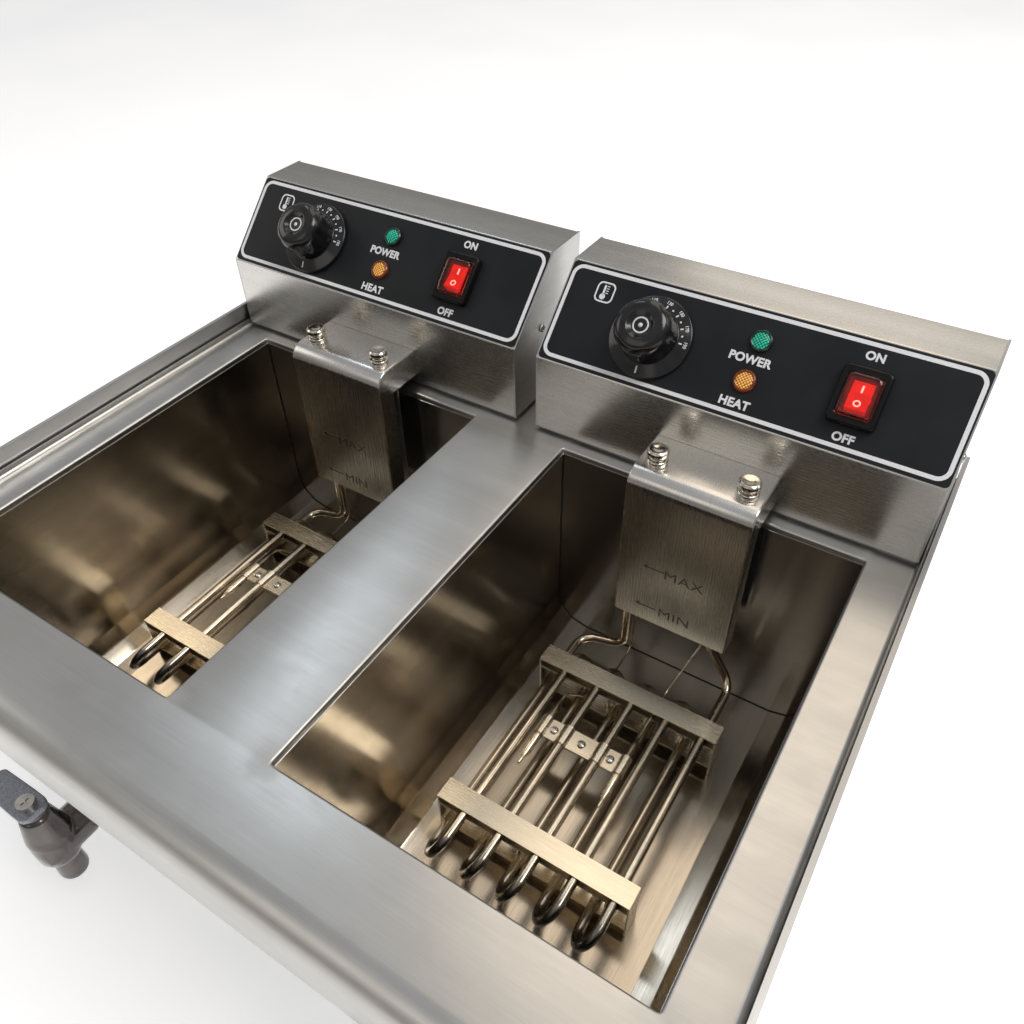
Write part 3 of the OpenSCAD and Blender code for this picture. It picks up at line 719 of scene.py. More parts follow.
# Painted shade: the stamped marks are a far darker copy of the cover's steel, standing for the shade round
# their relief
mark_steel = brushed("mark_steel", (0.20, 0.195, 0.19), 0.34, "yz", 0.03, 0.1)
bracket_steel = brushed("bracket_steel", (0.74, 0.66, 0.52), 0.25, "x", 0.08, 0.07)
inner_steel = brushed("inner_steel", (0.5, 0.5, 0.5), 0.4, "x", 0.1, 0.06)
element_steel = tube_steel(
    "element_steel", (0.62, 0.54, 0.43), 0.18, (0.74, 0.64, 0.49), (0.20, 0.19, 0.18), TANK_FRONT + 0.072
)
seam_dark = tube_steel("seam_dark", (0.07, 0.065, 0.06), 0.45, (0.12, 0.10, 0.08))
bulb_copper = plated("bulb_copper", (0.66, 0.56, 0.42), 0.2)
fastener_steel = plated("fastener_steel", (0.66, 0.64, 0.60), 0.14)
shaft_steel = plated("shaft_steel", (0.6, 0.6, 0.6), 0.25)
stud_chrome = plated("stud_chrome", (0.80, 0.75, 0.66), 0.06, 0.03)
tap_metal = plated("tap_metal", (0.17, 0.155, 0.15), 0.13, 0.25)
lever_metal = cast("lever_metal", (0.27, 0.28, 0.32))
panel_black = satin_black("panel_black", (0.012, 0.013, 0.015))
knob_black = gloss_black("knob_black", (0.007, 0.007, 0.008))
switch_black = satin_black("switch_black", (0.006, 0.0055, 0.0055), 0.22)
print_white = ink("print_white", (0.80, 0.81, 0.84))
print_lit = ink("print_lit", (0.95, 0.90, 0.88), 1.5)
lens_green = lamp_lens("lens_green", (0.02, 0.62, 0.38), (0.0, 0.012, 0.008), 0.8)
lens_amber = lamp_lens("lens_amber", (1.0, 0.50, 0.10), (0.12, 0.014, 0.0), 1.0)
rim_green = lit_plastic("rim_green", (0.0, 0.022, 0.015), (0.0, 0.006, 0.004), 0.05)
rim_amber = lit_plastic("rim_amber", (0.16, 0.025, 0.002), (0.04, 0.005, 0.0), 0.3)
rocker_red = lit_plastic("rocker_red", (0.95, 0.035, 0.02), (0.7, 0.012, 0.008), 0.55)
bezel_red = lit_plastic("bezel_red", (0.22, 0.006, 0.004), (0.05, 0.002, 0.001), 0.25)
boot_clear = clear_cover("boot_clear", (1.0, 0.42, 0.34))
gland_black = moulded("gland_black", (0.035, 0.035, 0.035), 0.45)
foot_rubber = moulded("foot_rubber", (0.03, 0.03, 0.03), 0.7)
resin = moulded("resin", (0.55, 0.50, 0.42), 0.5)


# ---------------------------------------------------------------- screws

def islands(mesh):
    """Each group of joined points, in the order of the groups' first points."""
    seen = set()
    for vert in mesh.verts:
        if vert in seen:
            continue
        group, front = set(), {vert}
        while front:
            group |= front
            front = {edge.other_vert(v) for v in front for edge in v.link_edges} - group
        seen |= group
        yield [v.co.copy() for v in group]


def screw_places(node):
    """Top of the head, outward direction and length of each screw in a CAD node, in metres."""
    mesh = bmesh.new()
    mesh.from_mesh(frame["nodes"][node].data)
    bmesh.ops.remove_doubles(mesh, verts=mesh.verts, dist=0.00001)
    for points in islands(mesh):
        low = Vector([min(p[i] for p in points) for i in range(3)])
        high = Vector([max(p[i] for p in points) for i in range(3)])
        size, middle = high - low, (low + high) / 2
        axis = max(range(3), key=lambda i: size[i])
        line = Vector([i == axis for i in range(3)])
        near_high = [(p - middle).cross(line).length for p in points if p[axis] > high[axis] - SCREW_H * MM]
        out = line if max(near_high) > (SCREW_R + SHANK_R) / 2 * MM else -line
        yield middle + out * size[axis] / 2, out, size[axis]
    mesh.free()


def screws(node, body):
    """Domed cross-recess screws in the places of a CAD node's plain ones."""
    radii = [0.02, 0.3, 0.5, 0.75, 1.05, 1.4, 1.75, 2.0, 2.2, 2.5, 2.8, 3.05, 3.2, SCREW_R]
    shape = Shape()
    for top, out, length in screw_places(node):
        rows = []
        for r in radii:
            dome = -SCREW_H * (1 - math.sqrt(max(0.0, 1 - (r / SCREW_R) ** 2.6)))
            row = []
            for k in range(48):
                x, y = r * math.cos(math.pi * k / 24), r * math.sin(math.pi * k / 24)
                recess = smooth_step((0.75 - min(abs(x), abs(y))) / 0.3) * smooth_step((2.15 - r) / 0.25)
                row.append(Vector((x, y, dome - recess * 1.1)))
            rows.append(row)
        edge = rows[-1]
        for z in (-SCREW_H, -length / MM):
            rows.append([Vector((p.x * SHANK_R / SCREW_R, p.y * SHANK_R / SCREW_R, z)) for p in edge])
        turn = Vector((0, 0, 1)).rotation_difference(out).to_matrix().to_4x4()
        shape.join(Shape().loft(rows, (-1,)), Matrix.Translation(top / MM) @ turn)
    piece(f"{node}_domed", shape, placed((0, 0, 0)), body, fastener_steel, node, angle=40)


# ---------------------------------------------------------------- cabinet

def tank_inside(side):
    """Inner width, length and depth of a tank, in millimetres, from its CAD box."""
    low, high = local_box(f"{side}_tank")
    return high.x - low.x - 2 * SHEET, high.y - low.y - 2 * SHEET, -low.z - SHEET


def opening_loop(side, out, height):
    """The outline of a tank's opening in the worktop, moved out by a distance, at a height."""
    width, length, _ = tank_inside(side)
    loop = round_rect(width + 2 * out, length + 2 * out, OPENING_R + out, 4)
    return lift(shifted(loop, middle_x(f"{side}_tank") / MM, length / 2), height)


def deck():
    """Worktop: rounded front edge, folded lip, upturned sides and a folded edge round each tank."""
    low, high = local_box("deck")
    half, front, back = high.x, low.y, high.y
    lip_back = local_box("front_panel")[0].y
    flat_front = front + NOSE_R
    profile = rounded(
        [(lip_back, low.z), (front, low.z), (front, 0), (flat_front, 0)],
        [0, BEND, NOSE_R - 0.01, 0], steps=12,
    )
    steps = 5
    inner = half - SHEET - UPTURN_R
    flat_x = [inner + (half - inner) * k / (steps + 1) for k in range(steps + 2)]
    upturn = [(inner + UPTURN_R * math.sin(a), UPTURN_R * (1 - math.cos(a))) for a in quarter(steps)]
    upturn.append((inner + UPTURN_R, high.z))
    shape = Shape()
    all_x = [-x for x in reversed(flat_x)] + flat_x
    shape.grid([[Vector((x, p.x, p.y)) for x in all_x] for p in profile])
    y_cuts = [flat_front, *(flat_front + rise for rise in UPTURN_RISE), back]
    for sign in (-1, 1):
        rows = []
        for share, y in zip((0, 0.5, 1, 1), y_cuts):
            eased = smooth_step(share)
            rows.append([
                Vector((sign * (fx + (ux - fx) * eased), y, uz * eased))
                for fx, (ux, uz) in zip(flat_x, upturn)
            ])
        shape.grid(rows)
    outer = [Vector((-inner, y, 0)) for y in y_cuts] + [Vector((inner, y, 0)) for y in reversed(y_cuts)]
    shape.fill(outer, *[opening_loop(side, BEND, 0) for side in SIDES])
    for side in SIDES:
        loops = [opening_loop(side, BEND * (1 - math.sin(a)), -BEND * (1 - math.cos(a))) for a in quarter(5)]
        shape.grid(loops + [opening_loop(side, 0, -FLANGE)], closed=True)
    made = piece("worktop", shape, WORKTOP, "cabinet", deck_steel, "deck", (0, 0, 1), 50)
    thicken(made, SHEET, 50)


def tank_profile(side, out=0.0):
    """Trough outline of a tank in (x, z), with each long edge pressed in a few strokes."""
    width, _, depth = tank_inside(side)
    half, low, top = width / 2 + out, -depth - out, -FLANGE
    corners = [(-half, top), (-half, low), (half, low), (half, top)]
    return rounded(rounded(corners, TANK_R + out, steps=TANK_FACETS), STROKE_R, steps=3)


def tank(side):
    """A tank: one trough sheet and two end plates, with a drain hole in the front one."""
    _, length, _ = tank_inside(side)
    profile = tank_profile(side)
    trough = Shape()
    trough.grid([upright(profile, y) for y in (0, length)])
    drain_z = (joint_place(f"{side}_tap_turn").z - DECK_TOP) / MM
    hole = upright(shifted(circle(DRAIN_R, 32), 0, drain_z), 0)
    # The trough and end plates take the darkened steel: painted shade inside the tank
    for name, shape, material, node, facing in (
        ("tank_trough", trough, trough_steel, "tank", (0, 0, 1)),
        ("tank_back", Shape().fill(upright(profile, length)), wall_steel, None, (0, -1, 0)),
        ("tank_front", Shape().fill(upright(profile, 0), hole), wall_steel, None, (0, 1, 0)),
    ):
        thicken(side_piece(
            side, name, shape, tank_frame(side), "cabinet", material, node, facing, 40
        ), SHEET)
    seams = Shape()
    for y in (0.25, length - 0.25):
        seams.tube(upright(tank_profile(side, -0.1), y), 0.55, 8)
    side_piece(side, "tank_seams", seams, tank_frame(side), "cabinet", seam_dark)
    rim = Shape()
    loop = opening_loop(side, -0.1, -FLANGE)
    rim.tube(loop + loop[:1], 0.4, 8, False)
    # The weld round the opening takes the same darkened steel: painted shade inside the tank
    side_piece(side, "rim_weld", rim, WORKTOP, "cabinet", wall_steel)


def feet():
    """Four rubber feet, at the corners of the CAD feet's box."""
    low, high = local_box("feet")
    profile = rounded(
        [(0, 0), (14, 0), (16.2, 11), (17.6, 15), (17.6, 19.8), (0, 19.8)],
        [0, 2.5, 3, 1, 1, 0], steps=4,
    )
    shape = Shape()
    for x in (low.x + FOOT_INSET, high.x - FOOT_INSET):
        for y in (low.y + FOOT_INSET, high.y - FOOT_INSET):
            shape.join(Shape().lathe(profile, 48), Matrix.Translation((x, y, low.z)))
    piece("rubber_feet", shape, WORKTOP, "cabinet", foot_rubber, "feet")


# ---------------------------------------------------------------- drain taps

def tap(side):
    """Cast tap body, its nut, and the lever over it."""
    matrix = placed(joint_place(f"{side}_tap_turn"))
    body_low, body_high = local_box(f"{side}_tap_body", matrix)
    foot, reach = body_low.z, body_high.y
    barrel = [(0, -15), (9, -14.8), (13, -12.6), (14.7, -8), (14.9, 0), (14.8, 8), (14.4, 14), (0, 16)]
    bonnet = [
        (0, 4), (14.6, 6), (14.7, 15), (14.0, 19), (12.4, 27), (10.6, 36), (9.6, 38), (7.6, 38.4),
        (7.6, 42), (0, 42)
    ]
    spout = [
        (0, -4), (10, -6), (9.8, -18), (10, -25), (10.4, -35), (9.6, foot), (6.5, foot), (6.5, -27), (0, -26)
    ]
    pipe = [
        (0, -14.4), (7, -14.1), (11.6, -12.4), (14.0, -8), (14.6, 0), (14.4, 22), (12, 30), (10, 34),
        (10, reach), (6.5, reach), (6.5, 30), (0, 30)
    ]
    shape = Shape()
    for profile, turn in ((barrel, None), (bonnet, None), (spout, None), (pipe, TO_BACK)):
        shape.join(Shape().lathe(profile, 40), turn)
    made = side_piece(
        side, "tap_casting", shape, matrix, "cabinet", tap_metal, "tap_body", angle=80
    )
    merged = made.modifiers.new("cast", "REMESH")
    merged.mode = "VOXEL"
    merged.voxel_size = 0.9 * MM
    merged.use_smooth_shade = True
    eased = made.modifiers.new("soften", "SMOOTH")
    eased.factor = 0.6
    eased.iterations = 6
    front, back = NUT_Y
    nut = Shape().lathe([
        (NUT_R, front), (15, front), (16, front + 1.5), (16, back - 1.5), (15, back), (NUT_R, back)
    ], 6)
    nut.grid([lift(circle(NUT_R, 6), y) for y in NUT_Y], closed=True)
    bevel(side_piece(side, "tap_nut", nut, matrix @ TO_BACK, "cabinet", lever_metal), 0.5)
    low, high = local_box(f"{side}_tap_lever", matrix)
    outline = rounded(
        [(low.x, low.y + 1), (-6, low.y), (7, low.y), (high.x, -5), (high.x, 5), (7, high.y), (-6, high.y),
         (low.x, high.y - 1)],
        [4, 4, 6, 4, 4, 6, 4, 4], True, 5,
    )
    lever = Shape().loft([lift(outline, low.z), lift(outline, high.z)])
    made = side_piece(
        side, "lever", lever, matrix, "tap_turning", lever_metal, "tap_lever", angle=30
    )
    bevel(made, 1.1, 3, 60)
    cad_piece(f"{side}_tap_ball", shaft_steel)
    cad_piece(f"{side}_tap_screw", fastener_steel, 0.7, 3)


# ---------------------------------------------------------------- control heads

def hole_loops(side, height, origin):
    """Holes for the knob's shaft, the lamps and the switch, in the sloping panel's own frame."""
    back = slope_frame(origin).inverted()
    loops = []
    for place, outline in (
        (joint_place(f"{side}_knob_turn"), circle(5.3, 24)),
        (on_panel(side, "power_lamp", POWER_UP), circle(6, 24)),
        (on_panel(side, "heat_lamp", HEAT_UP), circle(6, 24)),
        (joint_place(f"{side}_switch_rock"), round_rect(27.2, 34.2, 1, 3)),
    ):
        at = back @ place
        loops.append(lift(shifted(outline, at.x, at.y), height))
    return loops


def head_shell(side):
    """Bent sheet of a head: upright front, sloping panel, level top and a short fold down the back."""
    low, high = head_box(side, "end_plates")
    half = head_box(side, "head_shell")[1].x
    run = (high.z - FRONT_TOP) * NORMAL.z / -NORMAL.y
    path = rounded([
        (low.y, low.z), (low.y, FRONT_TOP), (low.y + run, high.z), (high.y, high.z),
        (high.y, high.z - BACK_FOLD)
    ], [0, BEND, BEND, BEND, 0], steps=4)
    shape = Shape()
    for a, b in zip(path, path[1:]):
        outline = [Vector((x, p.x, p.y)) for x, p in ((-half, a), (half, a), (half, b), (-half, b))]
        holes = []
        if abs((b - a).x) > 20 and abs((b - a).y) > 20:  # the sloping panel
            origin = WORKTOP @ Vector((0, a.x, a.y))
            turn = head_frame(side).inverted() @ slope_frame(origin)
            holes = [[turn @ p for p in loop] for loop in hole_loops(side, 0, origin)]
        elif a.x == low.y and (b - a).length > 20:  # the upright front
            arm_low, arm_high = head_box(side, "element_cover")
            left, right, top = arm_low.x + 2, arm_high.x - 2, arm_high.z - 2
            holes = [upright([
                Vector(corner) for corner in ((left, SLOT_LOW), (right, SLOT_LOW), (right, top), (left, top))
            ], low.y)]
        if holes:
            shape.fill(outline, *holes)
        else:
            shape.face(outline)
    thicken(side_piece(
        side, "head_casing", shape, head_frame(side), "head", head_steel, "head_shell",
        (0, -1, 1), 20,
    ), SKIN)


def label(side):
    """Black overlay with its white border, words and dial sign."""
    low, high = head_box(side, "control_label")
    centre = head_frame(side) @ ((low + high) / 2)
    centre = centre - NORMAL * (centre - joint_place(f"{side}_knob_turn")).dot(NORMAL)
    matrix = slope_frame(centre)
    width = high.x - low.x
    reach = (head_box(side, "end_plates")[1].z - FRONT_TOP) / UPHILL.z
    outline = lift(round_rect(width, reach - 1.8, LABEL_R, 8), LABEL_T)
    made = side_piece(
        side, "overlay", Shape().fill(outline, *hole_loops(side, LABEL_T, centre)), matrix, "head",
        panel_black, "control_label", tuple(NORMAL), 30,
    )
    thicken(made, LABEL_T - 0.02)
    marks = Shape()
    top = LABEL_T + PRINT_RISE
    border_w, border_h, rise = width - 2.4, reach - 5.9, 0.35
    marks.fill(*[
        lift(shifted(round_rect(border_w - less, border_h - less, BORDER_R - less / 2, 8), 0, rise), top)
        for less in (0, 2 * BORDER_W)
    ])
    for text, x, up, size in (
        ("POWER", 2.75, 40, 5.4), ("HEAT", 3.65, 10.8, 5.5),
        ("ON", 72.65, 62.4, 5.1), ("OFF", 72.75, 10.4, 5.2),
    ):
        marks.join(lettering(text, size, 1.0, 0.3), Matrix.Translation((x, up - reach / 2, top)))
    marks.join(thermometer(), Matrix.Translation((-106.85, 56.2 - reach / 2, top)))
    thicken(side_piece(
        side, "overlay_print", marks, matrix, "head", print_white, facing=tuple(NORMAL), angle=30
    ), 0.05)


def thermometer():
    """A plain thermometer in a rounded frame."""
    sign = flat(round_rect(13.6, 14.4, 3.8, 5), round_rect(11.4, 12.2, 2.9, 5))
    sign.fill(lift(shifted(circle(2.1, 24), -1, -3.2), 0))
    sign.fill(lift(shifted(round_rect(1.5, 7.4, 0.7, 4), -1, 1.4), 0))
    for k in range(4):
        sign.fill(lift(shifted(round_rect(1.9, 0.6, 0.2, 2), 1.3, -0.4 + 1.6 * k), 0))
    return sign


def knob_reach(r, z, angle):
    """Six shallow finger grips round the knob's side."""
    flute = max(0.0, math.cos(6 * angle + 0.5)) ** 2
    fade = smooth_step((z - 9) / 5) * smooth_step((r - 9) / 8) * smooth_step((KNOB_H - 0.5 - z) / 7)
    return r - 1.2 * flute * fade


def knob(side):
    """Knob with its printed skirt and a ring on its hollow top."""
    matrix = slope_frame(joint_place(f"{side}_knob_turn"))
    low = LABEL_T + 1
    hollow = KNOB_H - 2.5
    outline = rounded([
        (0, low + 3), (18, low + 3), (18, low), (KNOB_R, low), (KNOB_R, low + 2.6), (GRIP_R, SKIRT_TOP),
        (GRIP_R - 0.4, KNOB_H - 1.4), (9.4, KNOB_H), (6.4, hollow), (0, hollow)
    ], [0, 0.5, 0.3, 0.4, 1.2, 0.8, 7, 1.6, 1.4, 0], steps=8)
    side_piece(
        side, "dial_knob", Shape().lathe(outline, 144, knob_reach), matrix, "knob_body", knob_black,
        "knob", angle=50,
    )
    marks = Shape()
    tilt = math.atan2(low + 2.6 - SKIRT_TOP, KNOB_R - GRIP_R)

    def mark(shape, degrees, radius):
        """Lays a flat mark on the skirt, degrees clockwise from the top."""
        height = SKIRT_TOP + (radius - GRIP_R) * math.tan(tilt) + 0.08
        turn = Matrix.Rotation(math.radians(-degrees), 4, "Z")
        lean = Matrix.Translation((0, radius, height)) @ Matrix.Rotation(tilt, 4, "X")
        marks.join(shape, turn @ lean)

    for k in range(15):
        degrees = 88 - DIAL_STEP * k
        if k % 2 == 0:
            mark(flat(round_rect(1.0, 2.2, 0.2, 2)), degrees, 21.8)
            mark(lettering(str(190 - 10 * k), 2.3, 0.9, 0.09), degrees, 24.8)
        else:
            mark(flat(circle(0.72, 12)), degrees, 22)
    mark(flat(round_rect(1.1, 5, 0.3, 3)), 180, 23.4)
    ring = flat(circle(5.5), circle(4.4))
    ring.fill(lift(circle(1.5, 24), 0))
    marks.join(ring, Matrix.Translation((0, 0, hollow + 0.1)))
    printed = side_piece(side, "dial_marks", marks, matrix, "knob_body", print_white, angle=30)
    printed.modifiers.new("print", "SOLIDIFY").thickness = 0.06 * MM


def lamp(side, kind, up, lens, rim):
    """A round indicator: smooth rim and body, and a domed lens with crossed prisms."""
    matrix = slope_frame(on_panel(side, f"{kind}_lamp", up))
    seat = LENS_LOW - 0.6
    profile = rounded([
        (5.7, LAMP_TAIL), (5.7, LABEL_T), (LAMP_R, LABEL_T), (LAMP_R, 2.5), (6.3, 3.5), (LENS_R, 3.1),
        (LENS_R, seat)
    ], [0, 0, 0.2, 0.8, 0.7, 0.2, 0], steps=4)
    body = Shape().lathe([(0.02, LAMP_TAIL), *profile, (0.02, seat)], 56)
    side_piece(side, f"{kind}_rim", body, matrix, "head", rim, f"{kind}_lamp", angle=40)
    rows = []
    for a in quarter(14)[:-1] + [math.pi / 2 - 0.004]:
        r, z = LENS_R * math.cos(a), LENS_LOW + LENS_RISE * math.sin(a)
        row = []
        for k in range(72):
            x, y = r * math.cos(math.pi * k / 36), r * math.sin(math.pi * k / 36)
            first, second = [math.sin((matrix @ Vector((x, y, z))).dot(wave)) for wave in PRISM_WAVES]
            ridge = PRISM_DEPTH * (abs(first * second) - 1) * smooth_step((LENS_R - r) / 0.6)
            row.append(Vector((x, y, z + ridge)))
        rows.append(row)
    side_piece(side, f"{kind}_lens", Shape().loft(rows), matrix, "head", lens, angle=24)


def switch(side):
    """Rocker switch: black frame, lit rocker with its marks, and a clear splash cover."""
    matrix = slope_frame(joint_place(f"{side}_switch_rock"))
    outward = tuple(matrix.col[2].xyz)
    w, h = FRAME_SIZE
    seat_w, seat_h = BOOT_SEAT
    well_w, well_h = ROCKER_WELL
    ledge = FRAME_H - BEZEL_Z + 0.1
    loops = [lift(round_rect(w, h, 3, 5), z) for z in (LABEL_T, FRAME_H - 2.2)]
    for less_w, less_h, corner, down in (
        (0.5, 0.5, 2.9, 1), (1.8, 1.8, 2.8, 0.2), (3, 3, 2.8, 0), (5.5, 6.5, 3, 0.15),
        (w - seat_w - 0.3, h - seat_h - 0.3, 2.6, 0.45), (w - seat_w, h - seat_h, 2.5, 1),
        (w - 20, h - 25, 1, 1.05), (w - 20, h - 25, 1, ledge),
        (w - well_w, h - well_h, 0.6, ledge), (w - well_w, h - well_h, 0.6, FRAME_H + 8),
    ):
        loops.append(lift(round_rect(w - less_w, h - less_h, corner, 5), FRAME_H - down))
    shape = Shape().loft(loops, (-1,))
    inner = [lift(round_rect(*FRAME_INSIDE, 1, 5), z) for z in (LABEL_T, BODY_TAIL)]
    shape.loft([loops[0], *inner], (-1,))
    side_piece(
        side, "switch_frame", shape, matrix, "head", switch_black, "switch_body", angle=40
    )
    bezel = Shape().loft([
        lift(round_rect(bezel_w, bezel_h, 0.8, 5), BEZEL_Z - down) for bezel_w, bezel_h, down in (
            (19.8, 24.8, 0.05), (19.6, 24.6, -0.25), (19, 24, -0.4), (well_w + 0.8, well_h + 0.8, -0.4),
            (well_w, well_h, 0), (well_w, well_h, 0.05)
        )
    ], ())
    side_piece(side, "switch_bezel", bezel, matrix, "head", bezel_red, facing=outward, angle=40)
    clear = Shape().loft([
        lift(round_rect(seat_w - less, seat_h - less, corner, 6), FRAME_H + up) for less, corner, up in (
            (0.4, 2.3, -0.95), (0.7, 2.8, -0.1), (1, 3.2, 0.9), (1.7, 3.6, 1.9), (3.1, 3.8, 2.45),
            (5.5, 3.4, 2.6)
        )
    ], (-1,))
    thicken(side_piece(
        side, "splash_cover", clear, matrix, "head", boot_clear, "switch_boot", outward, 50
    ), 0.9)
    cad_piece(f"{side}_switch_rocker", rocker_red, 0.5, 3)
    rocker_marks(side, matrix)


def rocker_marks(side, matrix):
    """I and O on the two halves of the rocker, in its tilted rest position."""
    tilt = math.radians(-JOINTS[f"{side}_switch_rock"]["range_deg"][1] / 2)
    lean = math.atan2(ROCKER_END[1] - ROCKER_MIDDLE, ROCKER_END[0])
    marks = Shape()
    for mark, up in (
        (flat(round_rect(1.2, 4.6, 0.3, 3)), 4.6), (flat(circle(2.3, 32), circle(1.35, 32)), -4.8),
    ):
        height = ROCKER_MIDDLE + abs(up) * math.tan(lean) + 0.1
        turn = Matrix.Rotation(math.copysign(lean, up), 4, "X")
        marks.join(mark, Matrix.Translation((0, up, height)) @ turn)
    thicken(side_piece(
        side, "rocker_marks", marks, matrix @ Matrix.Rotation(tilt, 4, "X"), "rocker_body", print_lit,
        facing=tuple(matrix.col[2].xyz),
    ), 0.16)


# ---------------------------------------------------------------- element cover and hooks

def cover(side):
    """Bent cover over the element's legs: level arm, upright face and folded sides."""
    matrix = head_frame(side)
    low, high = head_box(side, "element_cover")
    middle, half = (low.x + high.x) / 2, (high.x - low.x) / 2
    path = rounded([(high.y, high.z), (low.y, high.z), (low.y, low.z)], COVER_BEND, steps=10)
    columns = [
        (-half + COVER_EDGE * (1 - math.sin(a)), COVER_EDGE * (1 - math.cos(a))) for a in reversed(quarter(4))
    ]
    columns += [(-x, drop) for x, drop in reversed(columns)]
    rows = []
    for i, p in enumerate(path):
        along = (path[min(i + 1, len(path) - 1)] - path[max(i - 1, 0)]).normalized()
        rows.append([Vector((middle + x, p.x - along.y * drop, p.y + along.x * drop)) for x, drop in columns])
    shape = Shape()
    shape.grid(rows)
    for edge, x in ((0, -half), (-1, half)):
        back = [(low.y + COVER_SIDE, low.z), (low.y + COVER_SIDE, ARM_LOW), (high.y, ARM_LOW)]
        shape.fill([row[edge] for row in rows] + [Vector((middle + x, y, z)) for y, z in back])
    thicken(side_piece(
        side, "cover_plate", shape, matrix, "head", cover_steel, "element_cover",
        (0, -1, 0), 30,
    ), SHEET)
    cover_marks(side, matrix, middle, low)


def cover_marks(side, matrix, middle, low):
    """Stamped oil-level lines and their words, standing just proud of the upright face; their dark steel is
    painted shade of the stamping.
    """
    marks = Shape()
    for text, x, z in (("MAX", 6, -46), ("MIN", 3.3, -85.5)):
        marks.join(lettering(text, 8.2, 1.15, -0.03), Matrix.Translation((x, z, 0)))
        arrow = flat(rounded([
            (-30.5, 0.3), (-26.5, 2.6), (-27.4, 0.6), (-14, 0.6), (-14, -0.6), (-27.4, -0.6), (-26.5, -2),
        ], 0.15, True, 2))
        marks.join(arrow, Matrix.Translation((x, z + 1.5, 0)))
    stand = Matrix.Translation((middle, low.y - 0.02, 0)) @ Matrix.Rotation(math.radians(90), 4, "X")
    stamped = side_piece(side, "level_marks", marks, matrix @ stand, "head", mark_steel, facing=(0, -1, 0))
    thick = stamped.modifiers.new("stamp", "SOLIDIFY")
    thick.thickness = 0.5 * MM
    thick.offset = 0
    bevel(stamped, 0.1, 2)


def studs(side):
    """Two turned hanger studs on the arm."""
    low, high = head_box(side, "hanger_studs")
    top = high.z - low.z
    profile = rounded([
        (0, 0), (3, 0), (3, SHANK_H), (STUD_R, SHANK_H), (STUD_R, SHANK_H + 3.6), (4.6, SHANK_H + 4),
        (4.6, SHANK_H + 6.6), (STUD_R, SHANK_H + 7), (STUD_R, top - 1.2), (STUD_R - 1.4, top - 0.1),
        (3.2, top - 0.35), (0, top - 0.9)
    ], [0, 0, 0, 0.5, 0.9, 0.8, 0.8, 0.9, 0.8, 0.5, 0.5, 0], steps=4)
    shape = Shape()
    for x in (low.x + STUD_R, high.x - STUD_R):
        shape.join(Shape().lathe(profile, 56), Matrix.Translation((x, (low.y + high.y) / 2, low.z)))
    side_piece(
        side, "hooks", shape, head_frame(side), "head", stud_chrome, "hanger_studs", angle=40
    )


# ---------------------------------------------------------------- element and sensors

def bent(corners, radius, step=9):
    """3-D points along a path that is bent to one radius at its corners."""
    points = [corners[0]]
    for before, at, after in zip(corners, corners[1:], corners[2:]):
        arrive, leave = (at - before).normalized(), (after - at).normalized()
        turn = arrive.angle(leave)
        inward = (leave - arrive * arrive.dot(leave)).normalized()
        centre = at - arrive * radius * math.tan(turn / 2) + inward * radius
        count = max(2, math.ceil(math.degrees(turn) / step))
        for k in range(count + 1):
            a = turn * k / count
            points.append(centre - inward * radius * math.cos(a) + arrive * radius * math.sin(a))
    points.append(corners[-1])
    spaced = [points[0]]
    for p in points[1:]:
        if (p - spaced[-1]).length > 0.05:
            spaced.append(p)
    return spaced


def element(side):
    """One tube from the left leg through the rods in turn to the right leg, and its two terminals."""
    low, high = head_box(side, "heating_element")
    left, right = LEG_X
    first = low.x + ROD_R + ROD_PITCH / 2
    front, back = low.y + ROD_R, RODS_BACK - ROD_R
    half = ROD_PITCH / 2
    corners = [
        (left, LEG_END, LEG_TOP), (left, LEG_BACK, LEG_TOP), (left, LEG_BACK, LOWER_Z + 10),
        (first - half, 280, LOWER_Z + 2),
    ]
    for i in range(RODS):
        x = first + i * ROD_PITCH
        corners += [(x - half, front, LOWER_Z), (x, front, UPPER_Z)]
        if i < RODS - 1:
            corners += [(x, back, UPPER_Z), (x + half, back, LOWER_Z)]
    corners += [
        (first + (RODS - 1) * ROD_PITCH, 280, UPPER_Z), (right, LEG_BACK, -118), (right, LEG_BACK, LEG_TOP),
        (right, LEG_END, LEG_TOP),
    ]
    radius = math.hypot(half, UPPER_Z - LOWER_Z) / 2 - 0.001
    shape = Shape()
    shape.tube(bent([Vector(corner) for corner in corners], radius), ROD_R, 24)
    for x in LEG_X:
        shape.tube([Vector((x, y, LEG_TOP)) for y in (LEG_END - 0.1, high.y)], TERMINAL_R, 16)
    side_piece(
        side, "element_tube", shape, head_frame(side), "head", element_steel,
        "heating_element", angle=40,
    )


